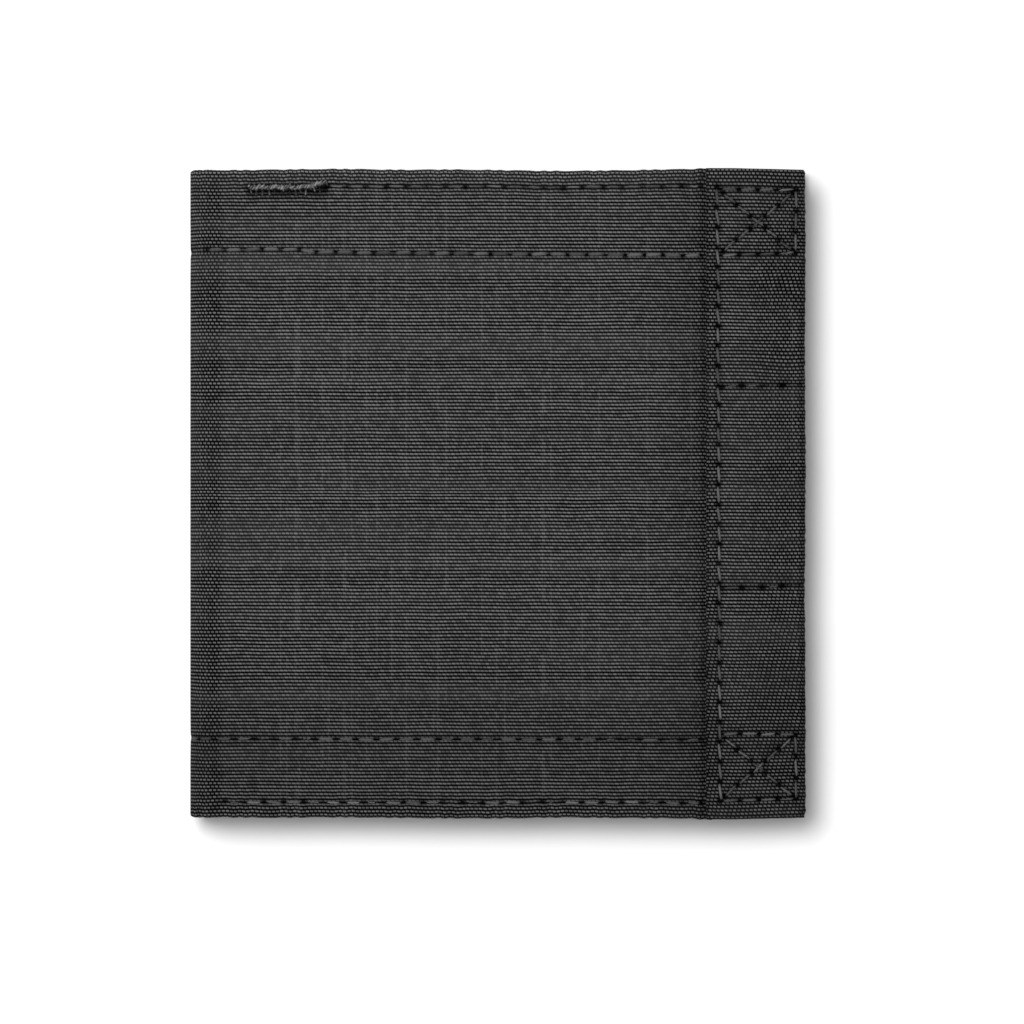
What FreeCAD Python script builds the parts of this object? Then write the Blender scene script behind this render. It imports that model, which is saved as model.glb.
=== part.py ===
"""A fabric bifold wallet, lying closed on its back cover with the spine at -X.

The wallet is a sewn stack of thin flat pieces. Each cover is a shell of woven nylon with turned
edges, an interlining, a lining, two hem tapes and a slip pocket whose mouth faces the spine, and
its free edge is bound by a folded band. The back cover also carries a zipped coin pocket and the
loop tape; the front cover carries three card slots and the hook tape. A narrow spine strip joins
the covers, and folds along a crease at each side.

Frame: X runs from the spine to the free edge, Y towards the wallet's top, Z up. The origin is the
centre of the wallet's footprint, on the surface that it lies on. Lengths are in millimetres.
"""

import FreeCAD
import Part
import Sketcher

import math
import os

from FreeCAD import Rotation, Vector

doc = FreeCAD.newDocument("BifoldWallet")

SIZES = (
    # the closed wallet
    ("wallet_width", 94.5, "spine to free edge, closed"),
    ("shell_height", 99.7, "height of the covers"),
    ("band_height", 100.0, "height of the edge bands"),
    ("thickness", 8.8, "closed thickness between the outer faces of the covers"),
    # cloth and board thicknesses
    ("shell", 0.5, "outer shell cloth"),
    ("interlining", 0.5, "stiffening layer"),
    ("lining", 0.3, "lining cloth"),
    ("hem", 0.5, "hem tape"),
    ("panel", 0.4, "pocket cloth"),
    ("slot_cloth", 0.35, "card slot cloth"),
    ("band", 0.5, "edge band cloth"),
    ("clearance", 0.6, "air between the layers of a cover and those of the spine"),
    # hems and edge bands
    ("hem_width", 12.5, "width of the hem tapes"),
    ("turn_radius", 0.6, "radius of the turned edges"),
    ("band_edge", 32.0, "X of the edge bands' inner edge"),
    ("band_proud", 0.25, "how far the front band stands above the cover"),
    ("tongue_lap", 1.0, "lap of the shell's joggle beside the band"),
    # slip pockets and card slots
    ("mouth", -38.1, "X of the slip pockets' mouths"),
    ("mouth_tape_width", 4.0, "tape along a pocket's mouth"),
    ("mouth_tape", 0.3, "thickness of the mouth tapes"),
    ("slot_first", -30.0, "X of the first card slot's mouth"),
    ("slot_pitch", 9.0, "step from one card slot to the next"),
    ("slot_height", 95.0, "height of the card slots, for an 85.6 mm card"),
    # coin pocket and zipper
    ("coin_depth", 1.2, "inner depth of the coin pocket, empty"),
    ("coin_height", 93.0, "height of the coin pocket"),
    ("coin_right", 31.6, "X of the coin pocket's far side"),
    ("coin_left", -37.6, "X of the coin pocket's side next to the spine"),
    ("gusset", 0.6, "thickness of the coin pocket's side walls"),
    ("zip_x", -27.0, "X of the zipper's centre line"),
    ("zip_window", 7.0, "width of the gap that shows the zipper"),
    ("zip_tape", 0.3, "zipper tape"),
    ("zip_tape_width", 5.0, "width of each zipper tape"),
    ("zip_length", 82.0, "length of the tooth rows"),
    ("tooth_pitch", 1.6, "pitch of the teeth in one row"),
    ("tooth_long", 1.2, "a tooth across the zipper"),
    ("tooth_wide", 0.7, "a tooth along the zipper"),
    ("tooth_tall", 1.0, "a tooth's height"),
    ("row_gap", 0.8, "gap between the rows, where the slider's wedge runs"),
    ("slider_length", 7.0, "length of the slider"),
    ("slider_width", 5.2, "width of the slider"),
    ("slider_plate", 0.3, "thickness of the slider's two plates"),
    ("slider_play", 0.1, "clearance between the slider and the teeth"),
    ("wedge", 0.5, "thickness of the slider's wedge"),
    ("post_radius", 0.7, "radius of the puller's post"),
    ("post_head", 1.3, "radius of the post's head"),
    ("puller", 0.5, "thickness of the puller"),
    ("puller_eye", 0.95, "inner radius of the puller's eye"),
    ("puller_length", 9.0, "from the puller's eye to the centre of its rounded end"),
    ("puller_width", 3.8, "width of the puller"),
    ("stop_long", 1.6, "length of the zipper stops"),
    ("stop_gap", 0.3, "gap between the closed slider and its stop"),
    # hook and loop
    ("grip_low", -14.3, "Y of the hook tape's lower end"),
    ("grip_high", 16.6, "Y of the hook tape's upper end"),
    ("grip_left", 34.8, "X of the hook tape's inner edge"),
    ("grip_right", 46.2, "X of the hook tape's outer edge"),
    ("hook_tape", 1.6, "thickness of the hook tape with its hooks"),
    ("loop_tape", 1.7, "thickness of the loop tape with its pile"),
    # seams
    ("hem_seam_top", 47.2, "Y of the seam along the top hem"),
    ("hem_seam_low", -47.3, "Y of the seam along the bottom hem"),
    ("row_top", 37.1, "Y of the hem tape's inner row at the top"),
    ("row_low", -37.6, "Y of the hem tape's inner row at the bottom"),
    ("band_seam", 33.9, "X of the seam along the band"),
    ("box_right", 45.7, "X of the box stitches' outer side"),
    ("box_top_high", 46.8, "Y of the upper box, outer side"),
    ("box_top_low", 36.7, "Y of the upper box, inner side"),
    ("box_low_high", -36.9, "Y of the lower box, inner side"),
    ("box_low_low", -47.0, "Y of the lower box, outer side"),
    ("stitch_pitch", 3.1, "stitch pitch"),
    ("stitch_long", 2.1, "length of thread that shows per stitch"),
    ("thread_width", 0.5, "width of a stitch"),
    ("channel_width", 0.7, "width of the channel that a seam presses into the cloth"),
    ("channel_depth", 0.25, "depth of that channel"),
    ("slant_width", 1.2, "width along X of the channels that cross a box"),
    ("low_seam_start", -41.9, "X where the bottom hem's seam starts"),
    ("bartack_start", -38.5, "X of the bartack's end next to the spine"),
    ("bartack_length", 12.4, "length of the bartack"),
    ("bartack_y", 46.9, "Y of the bartack"),
    ("bartack_width", 1.8, "width of the bartack"),
    ("bartack_bars", 14, "zigzag bars in the bartack"),
)

sheet = doc.addObject("Spreadsheet::Sheet", "Sizes")
for row, (alias, value, note) in enumerate(SIZES, start=1):
    sheet.set(f"A{row}", note)
    sheet.set(f"B{row}", str(value))
    sheet.setAlias(f"B{row}", alias)
doc.recompute()

# Expressions that several pieces share. SPINE is the spine's outer face, CREASE the line where a
# cover meets the spine, INNER where a cover's inner layers start and FREE the covers' free edge.
SPINE = "(-Sizes.wallet_width / 2)"
FREE = "(Sizes.wallet_width / 2)"
CREASE = f"({SPINE} + Sizes.shell)"
SPINE_LINING = "(Sizes.shell + Sizes.lining)"
SPINE_STACK = f"({SPINE_LINING} + Sizes.hem)"
INNER = f"({SPINE} + {SPINE_STACK} + Sizes.clearance)"
IN_BAND = f"({FREE} - Sizes.band - 0.1)"
HALF = "(Sizes.shell_height / 2)"
WITHIN = f"({HALF} - Sizes.shell - 0.05)"

# Depths below a cover's outer face.
LINING_TOP = "(Sizes.shell + Sizes.interlining)"
HEM_TOP = f"({LINING_TOP} + Sizes.lining)"
PANEL_TOP = f"({HEM_TOP} + Sizes.hem)"
PANEL_FACE = f"({PANEL_TOP} + Sizes.panel)"
BAND_FACE = f"({PANEL_FACE} + Sizes.band)"
COIN_TOP = f"({PANEL_FACE} + Sizes.coin_depth)"

# The zipper: where its stops start, and the slider's centre when the zipper is closed.
STOP = "(Sizes.zip_length / 2 + Sizes.tooth_pitch / 2)"
SLIDER_Y = f"({STOP} - Sizes.stop_gap - Sizes.slider_length / 2)"

SUBPARTS = []


def size(alias):
    """The number in one cell of the sheet."""
    return float(getattr(sheet, alias))


def keep(piece, label):
    """Lists a finished sub-part under its label, which names its file."""
    piece.Label = label
    SUBPARTS.append(piece)
    return piece


def layer(cover, top, face):
    """The (low, high) Z of a layer between two depths below the cover's outer face."""
    if cover == "back":
        return top, face
    return f"(Sizes.thickness - {face})", f"(Sizes.thickness - {top})"


def plate(label, x, y, z):
    """A flat piece of cloth: x, y and z are (low, high) expressions."""
    box = doc.addObject("Part::Box", label)
    for side, axis, (low, high) in (("Length", "x", x), ("Width", "y", y), ("Height", "z", z)):
        box.setExpression(side, f"{high} - ({low})")
        box.setExpression(f"Placement.Base.{axis}", low)
    return keep(box, label)


def outline(body, name, plane, loops, offset="0"):
    """A sketch of closed loops. Each corner is an (across, up) pair of expressions."""
    sketch = body.newObject("Sketcher::SketchObject", name)
    planes = {feature.Role: feature for feature in body.Origin.OriginFeatures}
    sketch.AttachmentSupport = [(planes[plane], "")]
    sketch.MapMode = "FlatFace"
    sketch.setExpression("AttachmentOffset.Base.z", offset)
    for loop in loops:
        corners = [Vector(*(evaluate(value) for value in corner), 0) for corner in loop]
        first = sketch.GeometryCount
        for start, end in zip(corners, corners[1:] + corners[:1]):
            sketch.addGeometry(Part.LineSegment(start, end), False)
        for number, corner in enumerate(loop):
            line = first + number
            before = first + (number - 1) % len(loop)
            sketch.addConstraint(Sketcher.Constraint("Coincident", before, 2, line, 1))
            for kind, value in zip(("DistanceX", "DistanceY"), corner):
                rule = sketch.addConstraint(
                    Sketcher.Constraint(kind, -1, 1, line, 1, evaluate(value))
                )
                sketch.setExpression(f"Constraints[{rule}]", value)
    return sketch


def evaluate(expression):
    """The number that an expression over the sheet gives."""
    return float(sheet.evalExpression(expression))


def pad(body, name, sketch, length, symmetric=False):
    """A Pad of the sketch, along its normal or to both sides of it."""
    feature = body.newObject("PartDesign::Pad", name)
    feature.Profile = sketch
    feature.setExpression("Length", length)
    feature.Midplane = symmetric
    doc.recompute()
    return feature


def pocket(body, name, sketch, depth, reversed_=False):
    """A Pocket that has to remove material, whichever way it points."""
    before = body.Shape.Volume
    feature = body.newObject("PartDesign::Pocket", name)
    feature.Profile = sketch
    feature.setExpression("Length", depth)
    feature.Reversed = reversed_
    doc.recompute()
    if body.Shape.Volume >= before:
        raise RuntimeError(f"{body.Label}: {name} cut nothing")
    return feature


def fillet(body, name, radius, wanted):
    """A Fillet of the edges for which wanted(edge) holds."""
    base = body.Tip
    names = [f"Edge{n}" for n, edge in enumerate(base.Shape.Edges, start=1) if wanted(edge)]
    feature = body.newObject("PartDesign::Fillet", name)
    feature.Base = (base, names)
    feature.setExpression("Radius", radius)
    doc.recompute()
    return feature


def box_loop(across, up):
    """The corners of a rectangle from its (low, high) expressions."""
    return [(across[0], up[0]), (across[1], up[0]), (across[1], up[1]), (across[0], up[1])]


def channel(centre, width="channel_width"):
    """The (low, high) of a seam's channel about its centre line."""
    half = f"Sizes.{width} / 2"
    return f"{centre} - {half}", f"{centre} + {half}"


def runs_along(edge, axis):
    """Whether an edge is a straight line along that axis."""
    ends = [vertex.Point for vertex in edge.Vertexes]
    return len(ends) == 2 and abs((ends[1] - ends[0]).normalize().dot(axis)) > 0.999


# ---------------------------------------------------------------- the shell


def shell_profile(up, turned):
    """The shell's section across Y: a plate whose long edges are turned in. up maps a depth."""
    inside = f"({HALF} - Sizes.shell)"
    return [
        (f"-{HALF}", up("0")),
        (HALF, up("0")),
        (HALF, up(turned)),
        (inside, up(turned)),
        (inside, up("Sizes.shell")),
        (f"-{inside}", up("Sizes.shell")),
        (f"-{inside}", up(turned)),
        (f"-{HALF}", up(turned)),
    ]


def cover_shell(cover):
    """The outer cloth of a cover, joggled inwards where the edge band wraps it."""

    def up(depth):
        return depth if cover == "back" else f"(Sizes.thickness - {depth})"

    body = doc.addObject("PartDesign::Body", f"{cover}_cover_shell")
    proud = "0" if cover == "back" else "Sizes.band_proud"
    section = outline(body, "Section", "YZ_Plane", [shell_profile(up, HEM_TOP)], INNER)
    pad(body, "Cloth", section, f"Sizes.band_edge - {INNER}")
    hinge_end = outline(
        body, "HingeEnd", "YZ_Plane", [box_loop((f"-{HALF}", HALF), (up("0"), up("Sizes.shell")))], CREASE
    )
    pad(body, "Crease", hinge_end, f"{INNER} - {CREASE}")
    tongue_depth = (f"(Sizes.band - {proud})", f"(Sizes.band - {proud} + Sizes.shell)")
    tongue = outline(
        body,
        "Tongue",
        "YZ_Plane",
        [box_loop((f"-{WITHIN}", WITHIN), (up(tongue_depth[0]), up(tongue_depth[1])))],
        "Sizes.band_edge - Sizes.tongue_lap",
    )
    pad(body, "Joggle", tongue, f"{IN_BAND} - Sizes.band_edge + Sizes.tongue_lap")

    outer = evaluate(up("0"))
    fillet(
        body,
        "TurnedEdges",
        "Sizes.turn_radius * 0.8",
        lambda edge: runs_along(edge, Vector(1, 0, 0))
        and abs(edge.CenterOfMass.z - outer) < 1e-6
        and edge.Length > size("band_edge"),
    )
    top_start = "Sizes.bartack_start"
    if cover == "front":
        top_start = "(Sizes.bartack_start + Sizes.bartack_length)"
    rows = [
        box_loop((start, "Sizes.band_edge"), channel(f"Sizes.{row}"))
        for start, row in (
            (CREASE, "row_top"),
            (CREASE, "row_low"),
            ("Sizes.low_seam_start", "hem_seam_low"),
            (top_start, "hem_seam_top"),
        )
    ]
    channels = outline(body, "SeamLines", "XY_Plane", rows, up("0"))
    pocket(body, "SeamChannels", channels, "Sizes.channel_depth", reversed_=cover == "back")
    return keep(body, f"{cover}_cover_shell")


def spine_shell():
    """The outer cloth over the spine, between the two creases."""
    body = doc.addObject("PartDesign::Body", "spine_shell")
    profile = [(f"({SPINE} + {depth})", along) for along, depth in shell_profile(str, SPINE_STACK)]
    section = outline(body, "Section", "XY_Plane", [profile], "Sizes.shell")
    pad(body, "Cloth", section, "Sizes.thickness - 2 * Sizes.shell")
    spine = evaluate(SPINE)
    fillet(
        body,
        "TurnedEdges",
        "Sizes.turn_radius * 0.8",
        lambda edge: runs_along(edge, Vector(0, 0, 1)) and abs(edge.CenterOfMass.x - spine) < 1e-6,
    )
    height = ("Sizes.shell", "(Sizes.thickness - Sizes.shell)")
    rows = [box_loop(channel(f"Sizes.{row}"), height) for row in ("row_top", "row_low")]
    channels = outline(body, "SeamLines", "YZ_Plane", rows, SPINE)
    pocket(body, "SeamChannels", channels, "Sizes.channel_depth", reversed_=True)
    return keep(body, "spine_shell")


# ---------------------------------------------------------------- the edge bands


def edge_band(cover):
    """The strip folded round a cover's free edge, with the channels of its seams."""
    proud = "0" if cover == "back" else "Sizes.band_proud"

    def up(depth):
        return depth if cover == "back" else f"(Sizes.thickness - {depth})"

    body = doc.addObject("PartDesign::Body", f"{cover}_edge_band")
    fold = f"({FREE} - Sizes.band)"
    outer = f"(-{proud})"
    profile = [
        ("Sizes.band_edge", up(outer)),
        (FREE, up(outer)),
        (FREE, up(BAND_FACE)),
        ("Sizes.band_edge", up(BAND_FACE)),
        ("Sizes.band_edge", up(PANEL_FACE)),
        (fold, up(PANEL_FACE)),
        (fold, up(f"({outer} + Sizes.band)")),
        ("Sizes.band_edge", up(f"({outer} + Sizes.band)")),
    ]
    section = outline(body, "Section", "XZ_Plane", [profile])
    pad(body, "Cloth", section, "Sizes.band_height", symmetric=True)
    free = evaluate(FREE)
    fillet(
        body,
        "Fold",
        "Sizes.turn_radius",
        lambda edge: runs_along(edge, Vector(0, 1, 0)) and abs(edge.CenterOfMass.x - free) < 1e-6,
    )

    boxes = (("box_top_low", "box_top_high"), ("box_low_low", "box_low_high"))
    upright = [box_loop(channel("Sizes.band_seam"), ("Sizes.box_low_low", "Sizes.box_top_high"))]
    level = [
        box_loop(("Sizes.band_seam", f"({FREE} - Sizes.turn_radius)"), channel(f"Sizes.{row}"))
        for row in ("grip_low", "grip_high")
    ]
    rising, falling = [], []
    for low, high in boxes:
        ends = (f"Sizes.{low}", f"Sizes.{high}")
        upright.append(box_loop(channel("Sizes.box_right"), ends))
        level += [box_loop(("Sizes.band_seam", "Sizes.box_right"), channel(end)) for end in ends]
        left, right = (channel(f"Sizes.{side}", "slant_width") for side in ("band_seam", "box_right"))
        for slant, (start, end) in ((rising, ends), (falling, ends[::-1])):
            slant.append([(left[0], start), (left[1], start), (right[1], end), (right[0], end)])
    for name, loops in (("Upright", upright), ("Level", level), ("Rising", rising), ("Falling", falling)):
        sketch = outline(body, f"{name}Seams", "XY_Plane", loops, up(outer))
        pocket(body, f"{name}Channels", sketch, "Sizes.channel_depth", reversed_=cover == "back")
    return keep(body, f"{cover}_edge_band")


# ---------------------------------------------------------------- linings, hems and pockets


def cover_layers(cover):
    """The flat layers inside a cover, from its shell to its slip pocket."""
    inside = (f"-{WITHIN}", WITHIN)
    plate(
        f"{cover}_interlining",
        (INNER, "(Sizes.band_edge - Sizes.tongue_lap - 0.2)"),
        inside,
        layer(cover, "Sizes.shell", LINING_TOP),
    )
    plate(f"{cover}_lining", (INNER, IN_BAND), inside, layer(cover, LINING_TOP, HEM_TOP))
    for end, (low, high) in (
        ("top", (f"({HALF} - Sizes.hem_width)", HALF)),
        ("bottom", (f"-{HALF}", f"(Sizes.hem_width - {HALF})")),
    ):
        plate(f"{cover}_{end}_hem_tape", (INNER, IN_BAND), (low, high), layer(cover, HEM_TOP, PANEL_TOP))
    plate(
        f"{cover}_slip_pocket",
        ("Sizes.mouth", IN_BAND),
        (f"-{HALF}", HALF),
        layer(cover, PANEL_TOP, PANEL_FACE),
    )


def spine_layers():
    """The lining and the hem tapes over the spine."""
    height = ("(Sizes.shell + 0.1)", "(Sizes.thickness - Sizes.shell - 0.1)")
    lining = (CREASE, f"({SPINE} + {SPINE_LINING})")
    tape = (f"({SPINE} + {SPINE_LINING})", f"({SPINE} + {SPINE_STACK})")
    plate("spine_lining", lining, (f"-{WITHIN}", WITHIN), height)
    plate("spine_top_hem_tape", tape, (f"({HALF} - Sizes.hem_width)", WITHIN), height)
    plate("spine_bottom_hem_tape", tape, (f"-{WITHIN}", f"(Sizes.hem_width - {HALF})"), height)


def card_slots():
    """Three card slots on the front cover's slip pocket, each with a tape along its mouth."""
    depth = PANEL_FACE
    reach = ("(-Sizes.slot_height / 2)", "(Sizes.slot_height / 2)")
    plate(
        "front_pocket_mouth_tape",
        ("Sizes.mouth", "(Sizes.mouth + Sizes.mouth_tape_width)"),
        reach,
        layer("front", PANEL_FACE, f"({PANEL_FACE} + Sizes.mouth_tape)"),
    )
    for number in range(3):
        mouth = f"(Sizes.slot_first + {number} * Sizes.slot_pitch)"
        face = f"({depth} + Sizes.slot_cloth)"
        plate(f"card_slot_{number + 1}", (mouth, "Sizes.coin_right"), reach, layer("front", depth, face))
        plate(
            f"card_slot_{number + 1}_mouth_tape",
            (mouth, f"({mouth} + Sizes.mouth_tape_width)"),
            reach,
            layer("front", face, f"({face} + Sizes.mouth_tape)"),
        )
        depth = face


def hook_and_loop():
    """The two halves of the closure, on the inner faces of the bands."""
    across, along = ("Sizes.grip_left", "Sizes.grip_right"), ("Sizes.grip_low", "Sizes.grip_high")
    for label, cover, thick in (("loop_tape", "back", "loop_tape"), ("hook_tape", "front", "hook_tape")):
        plate(label, across, along, layer(cover, BAND_FACE, f"({BAND_FACE} + Sizes.{thick})"))


# ---------------------------------------------------------------- coin pocket and zipper


def coin_pocket():
    """The coin pocket: side walls, a panel and a narrow strip with the zipper's gap between."""
    half = "(Sizes.coin_height / 2)"
    along = (f"-{half}", half)
    cloth = (COIN_TOP, f"({COIN_TOP} + Sizes.panel)")
    gap = [f"(Sizes.zip_x {sign} Sizes.zip_window / 2)" for sign in "-+"]
    plate("coin_pocket_panel", (gap[1], "Sizes.coin_right"), along, cloth)
    plate("coin_pocket_zip_strip", ("Sizes.coin_left", gap[0]), along, cloth)
    for side, sign in (("left", "-"), ("right", "+")):
        inner = f"(Sizes.zip_x {sign} Sizes.row_gap / 2 {sign} Sizes.tooth_long * 0.7)"
        outer = f"(Sizes.zip_x {sign} Sizes.row_gap / 2 {sign} Sizes.zip_tape_width)"
        plate(
            f"zipper_tape_{side}",
            (outer, inner) if sign == "-" else (inner, outer),
            (f"(-{half} + Sizes.gusset + 0.05)", f"({half} - Sizes.gusset - 0.05)"),
            (f"({COIN_TOP} - Sizes.zip_tape)", COIN_TOP),
        )
    plate(
        "back_pocket_mouth_tape",
        ("(Sizes.coin_left - Sizes.gusset)", "Sizes.coin_left"),
        along,
        (PANEL_FACE, f"({COIN_TOP} + Sizes.panel)"),
    )


def coin_gusset():
    """The coin pocket's other side walls: one strip along its far side and one at each end."""
    left, right = size("coin_left"), size("coin_right")
    half, wall = size("coin_height") / 2, size("gusset")
    floor, deep = evaluate(PANEL_FACE), size("coin_depth")
    walls = [Part.makeBox(right - left, wall, deep, Vector(left, end, floor)) for end in (-half, half - wall)]
    walls.append(Part.makeBox(wall, 2 * (half - wall), deep, Vector(right - wall, wall - half, floor)))
    gusset = doc.addObject("Part::Feature", "coin_pocket_gusset")
    gusset.Shape = Part.makeCompound(walls)
    keep(gusset, "coin_pocket_gusset")


def zipper_teeth():
    """Both rows of teeth, half a pitch apart, with the gap between them that the wedge runs in."""
    pitch, long, wide = size("tooth_pitch"), size("tooth_long"), size("tooth_wide")
    tall, reach = size("tooth_tall"), size("zip_length")
    middle = evaluate(COIN_TOP) - size("zip_tape") / 2
    count = int(reach / pitch)
    for side, sign, shift in (("left", -1, 0.0), ("right", 1, 0.5)):
        root = size("zip_x") + sign * size("row_gap") / 2
        # The tooth stands on the tape's edge, so its outer part is forked above and below the tape.
        profile = Part.makeBox(long, wide, tall, Vector(root if sign > 0 else root - long, -wide / 2, -tall / 2))
        slot = Part.makeBox(long, wide, size("zip_tape"), Vector(root + sign * 0.7 * long, 0, 0))
        slot.translate(Vector(0 if sign > 0 else -long, -wide / 2, -size("zip_tape") / 2))
        tooth = profile.cut(slot)
        tooth = tooth.makeFillet(0.2, [e for e in tooth.Edges if abs(e.CenterOfMass.x - root) < 1e-6])
        teeth = []
        for number in range(count):
            copy = tooth.copy()
            copy.translate(Vector(0, (number + shift) * pitch - count * pitch / 2, middle))
            teeth.append(copy)
        row = doc.addObject("Part::Feature", f"zipper_teeth_{side}")
        row.Shape = Part.makeCompound(teeth)
        keep(row, f"zipper_teeth_{side}")


def zipper_stops():
    """The crimped stops at the two ends of the tooth rows."""
    reach = "(Sizes.tooth_long + Sizes.row_gap / 2)"
    tall = "Sizes.tooth_tall / 2"
    middle = f"({COIN_TOP} - Sizes.zip_tape / 2)"
    for label, start_y in (("zipper_top_stop", STOP), ("zipper_bottom_stop", f"(-{STOP} - Sizes.stop_long)")):
        block = doc.addObject("Part::Box", label + "_block")
        block.setExpression("Length", f"2 * {reach}")
        block.setExpression("Width", "Sizes.stop_long")
        block.setExpression("Height", "Sizes.tooth_tall")
        block.setExpression("Placement.Base.x", f"Sizes.zip_x - {reach}")
        block.setExpression("Placement.Base.y", start_y)
        block.setExpression("Placement.Base.z", f"{middle} - {tall}")
        groove = doc.addObject("Part::Compound", label + "_grooves")
        sides = []
        for sign in "-+":
            inner = "(Sizes.row_gap / 2 + Sizes.tooth_long * 0.7)"
            cutter = doc.addObject("Part::Box", label + "_groove")
            cutter.setExpression("Length", "Sizes.tooth_long")
            cutter.setExpression("Width", "Sizes.stop_long")
            cutter.setExpression("Height", "Sizes.zip_tape")
            start = f"Sizes.zip_x + {inner}" if sign == "+" else f"Sizes.zip_x - {inner} - Sizes.tooth_long"
            cutter.setExpression("Placement.Base.x", start)
            cutter.setExpression("Placement.Base.y", start_y)
            cutter.setExpression("Placement.Base.z", f"{COIN_TOP} - Sizes.zip_tape")
            sides.append(cutter)
        groove.Links = sides
        stop = doc.addObject("Part::Cut", label)
        stop.Base, stop.Tool = block, groove
        keep(stop, label)


def zipper_slider():
    """The slider: two plates joined by a wedge between the rows, flanged down to the tapes."""
    body = doc.addObject("PartDesign::Body", "zipper_slider")
    middle = f"({COIN_TOP} - Sizes.zip_tape / 2)"
    play = "Sizes.slider_play"
    room = f"(Sizes.tooth_tall / 2 + {play})"
    side = "(Sizes.slider_width / 2)"
    well = f"(Sizes.row_gap / 2 + Sizes.tooth_long + {play})"
    slit = f"(Sizes.zip_tape / 2 + {play})"
    core = "(Sizes.wedge / 2)"

    def point(across, up):
        return f"(Sizes.zip_x + {across})", f"({middle} + {up})"

    def quarter(sign, fold):
        """The corners of one flanged plate, from the wedge outwards."""
        return [
            (f"{sign} * {core}", f"{fold} * {room}"),
            (f"{sign} * {well}", f"{fold} * {room}"),
            (f"{sign} * {well}", f"{fold} * {slit}"),
            (f"{sign} * {side}", f"{fold} * {slit}"),
            (f"{sign} * {side}", f"{fold} * ({room} + Sizes.slider_plate)"),
        ]

    corners = quarter("1", "-1")[::-1] + quarter("1", "1") + quarter("-1", "1")[::-1] + quarter("-1", "-1")
    section = outline(body, "Section", "XZ_Plane", [[point(*corner) for corner in corners]],
                      f"-{SLIDER_Y}")
    pad(body, "Plates", section, "Sizes.slider_length", symmetric=True)
    top = f"({middle} + {room} + Sizes.slider_plate)"
    post = body.newObject("Sketcher::SketchObject", "PostCircle")
    head = body.newObject("Sketcher::SketchObject", "HeadCircle")
    planes = {feature.Role: feature for feature in body.Origin.OriginFeatures}
    centre_y = SLIDER_Y
    head_base = f"({top} + Sizes.puller + 0.25)"
    for sketch, radius, height in ((post, "Sizes.post_radius", f"({top} - 0.1)"), (head, "Sizes.post_head", head_base)):
        sketch.AttachmentSupport = [(planes["XY_Plane"], "")]
        sketch.MapMode = "FlatFace"
        sketch.setExpression("AttachmentOffset.Base.z", height)
        circle = Part.Circle(Vector(evaluate("Sizes.zip_x"), evaluate(centre_y), 0), Vector(0, 0, 1), evaluate(radius))
        sketch.addGeometry(circle, False)
        for kind, arguments, value in (
            ("DistanceX", (-1, 1, 0, 3), "Sizes.zip_x"),
            ("DistanceY", (-1, 1, 0, 3), centre_y),
            ("Radius", (0,), radius),
        ):
            rule = sketch.addConstraint(Sketcher.Constraint(kind, *arguments, evaluate(value)))
            sketch.setExpression(f"Constraints[{rule}]", value)
    pad(body, "Post", post, f"{head_base} - {top} + 0.2")
    pad(body, "Head", head, "0.3")
    return keep(body, "zipper_slider")


def zipper_puller():
    """The puller: a flat tab whose eye turns on the slider's post."""
    body = doc.addObject("PartDesign::Body", "zipper_puller")
    planes = {feature.Role: feature for feature in body.Origin.OriginFeatures}
    sketch = body.newObject("Sketcher::SketchObject", "Outline")
    sketch.AttachmentSupport = [(planes["XY_Plane"], "")]
    sketch.MapMode = "FlatFace"
    top = f"({COIN_TOP} - Sizes.zip_tape / 2 + Sizes.tooth_tall / 2 + Sizes.slider_play + Sizes.slider_plate)"
    sketch.setExpression("AttachmentOffset.Base.z", f"{top} + 0.1")
    centre_y = SLIDER_Y
    x, y = size("zip_x"), evaluate(centre_y)
    half, length = size("puller_width") / 2, size("puller_length")
    up, axis = Vector(0, 0, 1), Vector(x, y, 0)
    tip = axis + Vector(length, 0, 0)
    sketch.addGeometry(Part.ArcOfCircle(Part.Circle(axis, up, half), math.pi / 2, 3 * math.pi / 2), False)
    sketch.addGeometry(Part.LineSegment(axis - Vector(0, half, 0), tip - Vector(0, half, 0)), False)
    sketch.addGeometry(Part.ArcOfCircle(Part.Circle(tip, up, half), -math.pi / 2, math.pi / 2), False)
    sketch.addGeometry(Part.LineSegment(tip + Vector(0, half, 0), axis + Vector(0, half, 0)), False)
    sketch.addGeometry(Part.Circle(axis, up, size("puller_eye")), False)
    for ends in ((0, 2, 1, 1), (1, 2, 2, 1), (2, 2, 3, 1), (3, 2, 0, 1)):
        sketch.addConstraint(Sketcher.Constraint("Tangent", *ends))
    sketch.addConstraint(Sketcher.Constraint("Coincident", 0, 3, 4, 3))
    for kind, arguments, value in (
        ("DistanceX", (-1, 1, 0, 3), "Sizes.zip_x"),
        ("DistanceY", (-1, 1, 0, 3), centre_y),
        ("DistanceX", (0, 3, 2, 3), "Sizes.puller_length"),
        ("DistanceY", (0, 3, 2, 3), "0"),
        ("Radius", (0,), "Sizes.puller_width / 2"),
        ("Radius", (4,), "Sizes.puller_eye"),
    ):
        rule = sketch.addConstraint(Sketcher.Constraint(kind, *arguments, evaluate(value)))
        sketch.setExpression(f"Constraints[{rule}]", value)
    pad(body, "Tab", sketch, "Sizes.puller")
    return keep(body, "zipper_puller")


# ---------------------------------------------------------------- thread


def stitch(length, height):
    """One stitch along X: a bar with a domed top, standing on Z = 0."""
    half = size("thread_width") / 2
    ends = Vector(0, -half, 0), Vector(0, half, 0)
    dome = Part.Arc(ends[0], Vector(0, 0, height), ends[1]).toShape()
    face = Part.Face(Part.Wire([dome, Part.LineSegment(ends[1], ends[0]).toShape()]))
    bar = face.extrude(Vector(length, 0, 0))
    bar.translate(Vector(-length / 2, 0, 0))
    return bar


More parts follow.
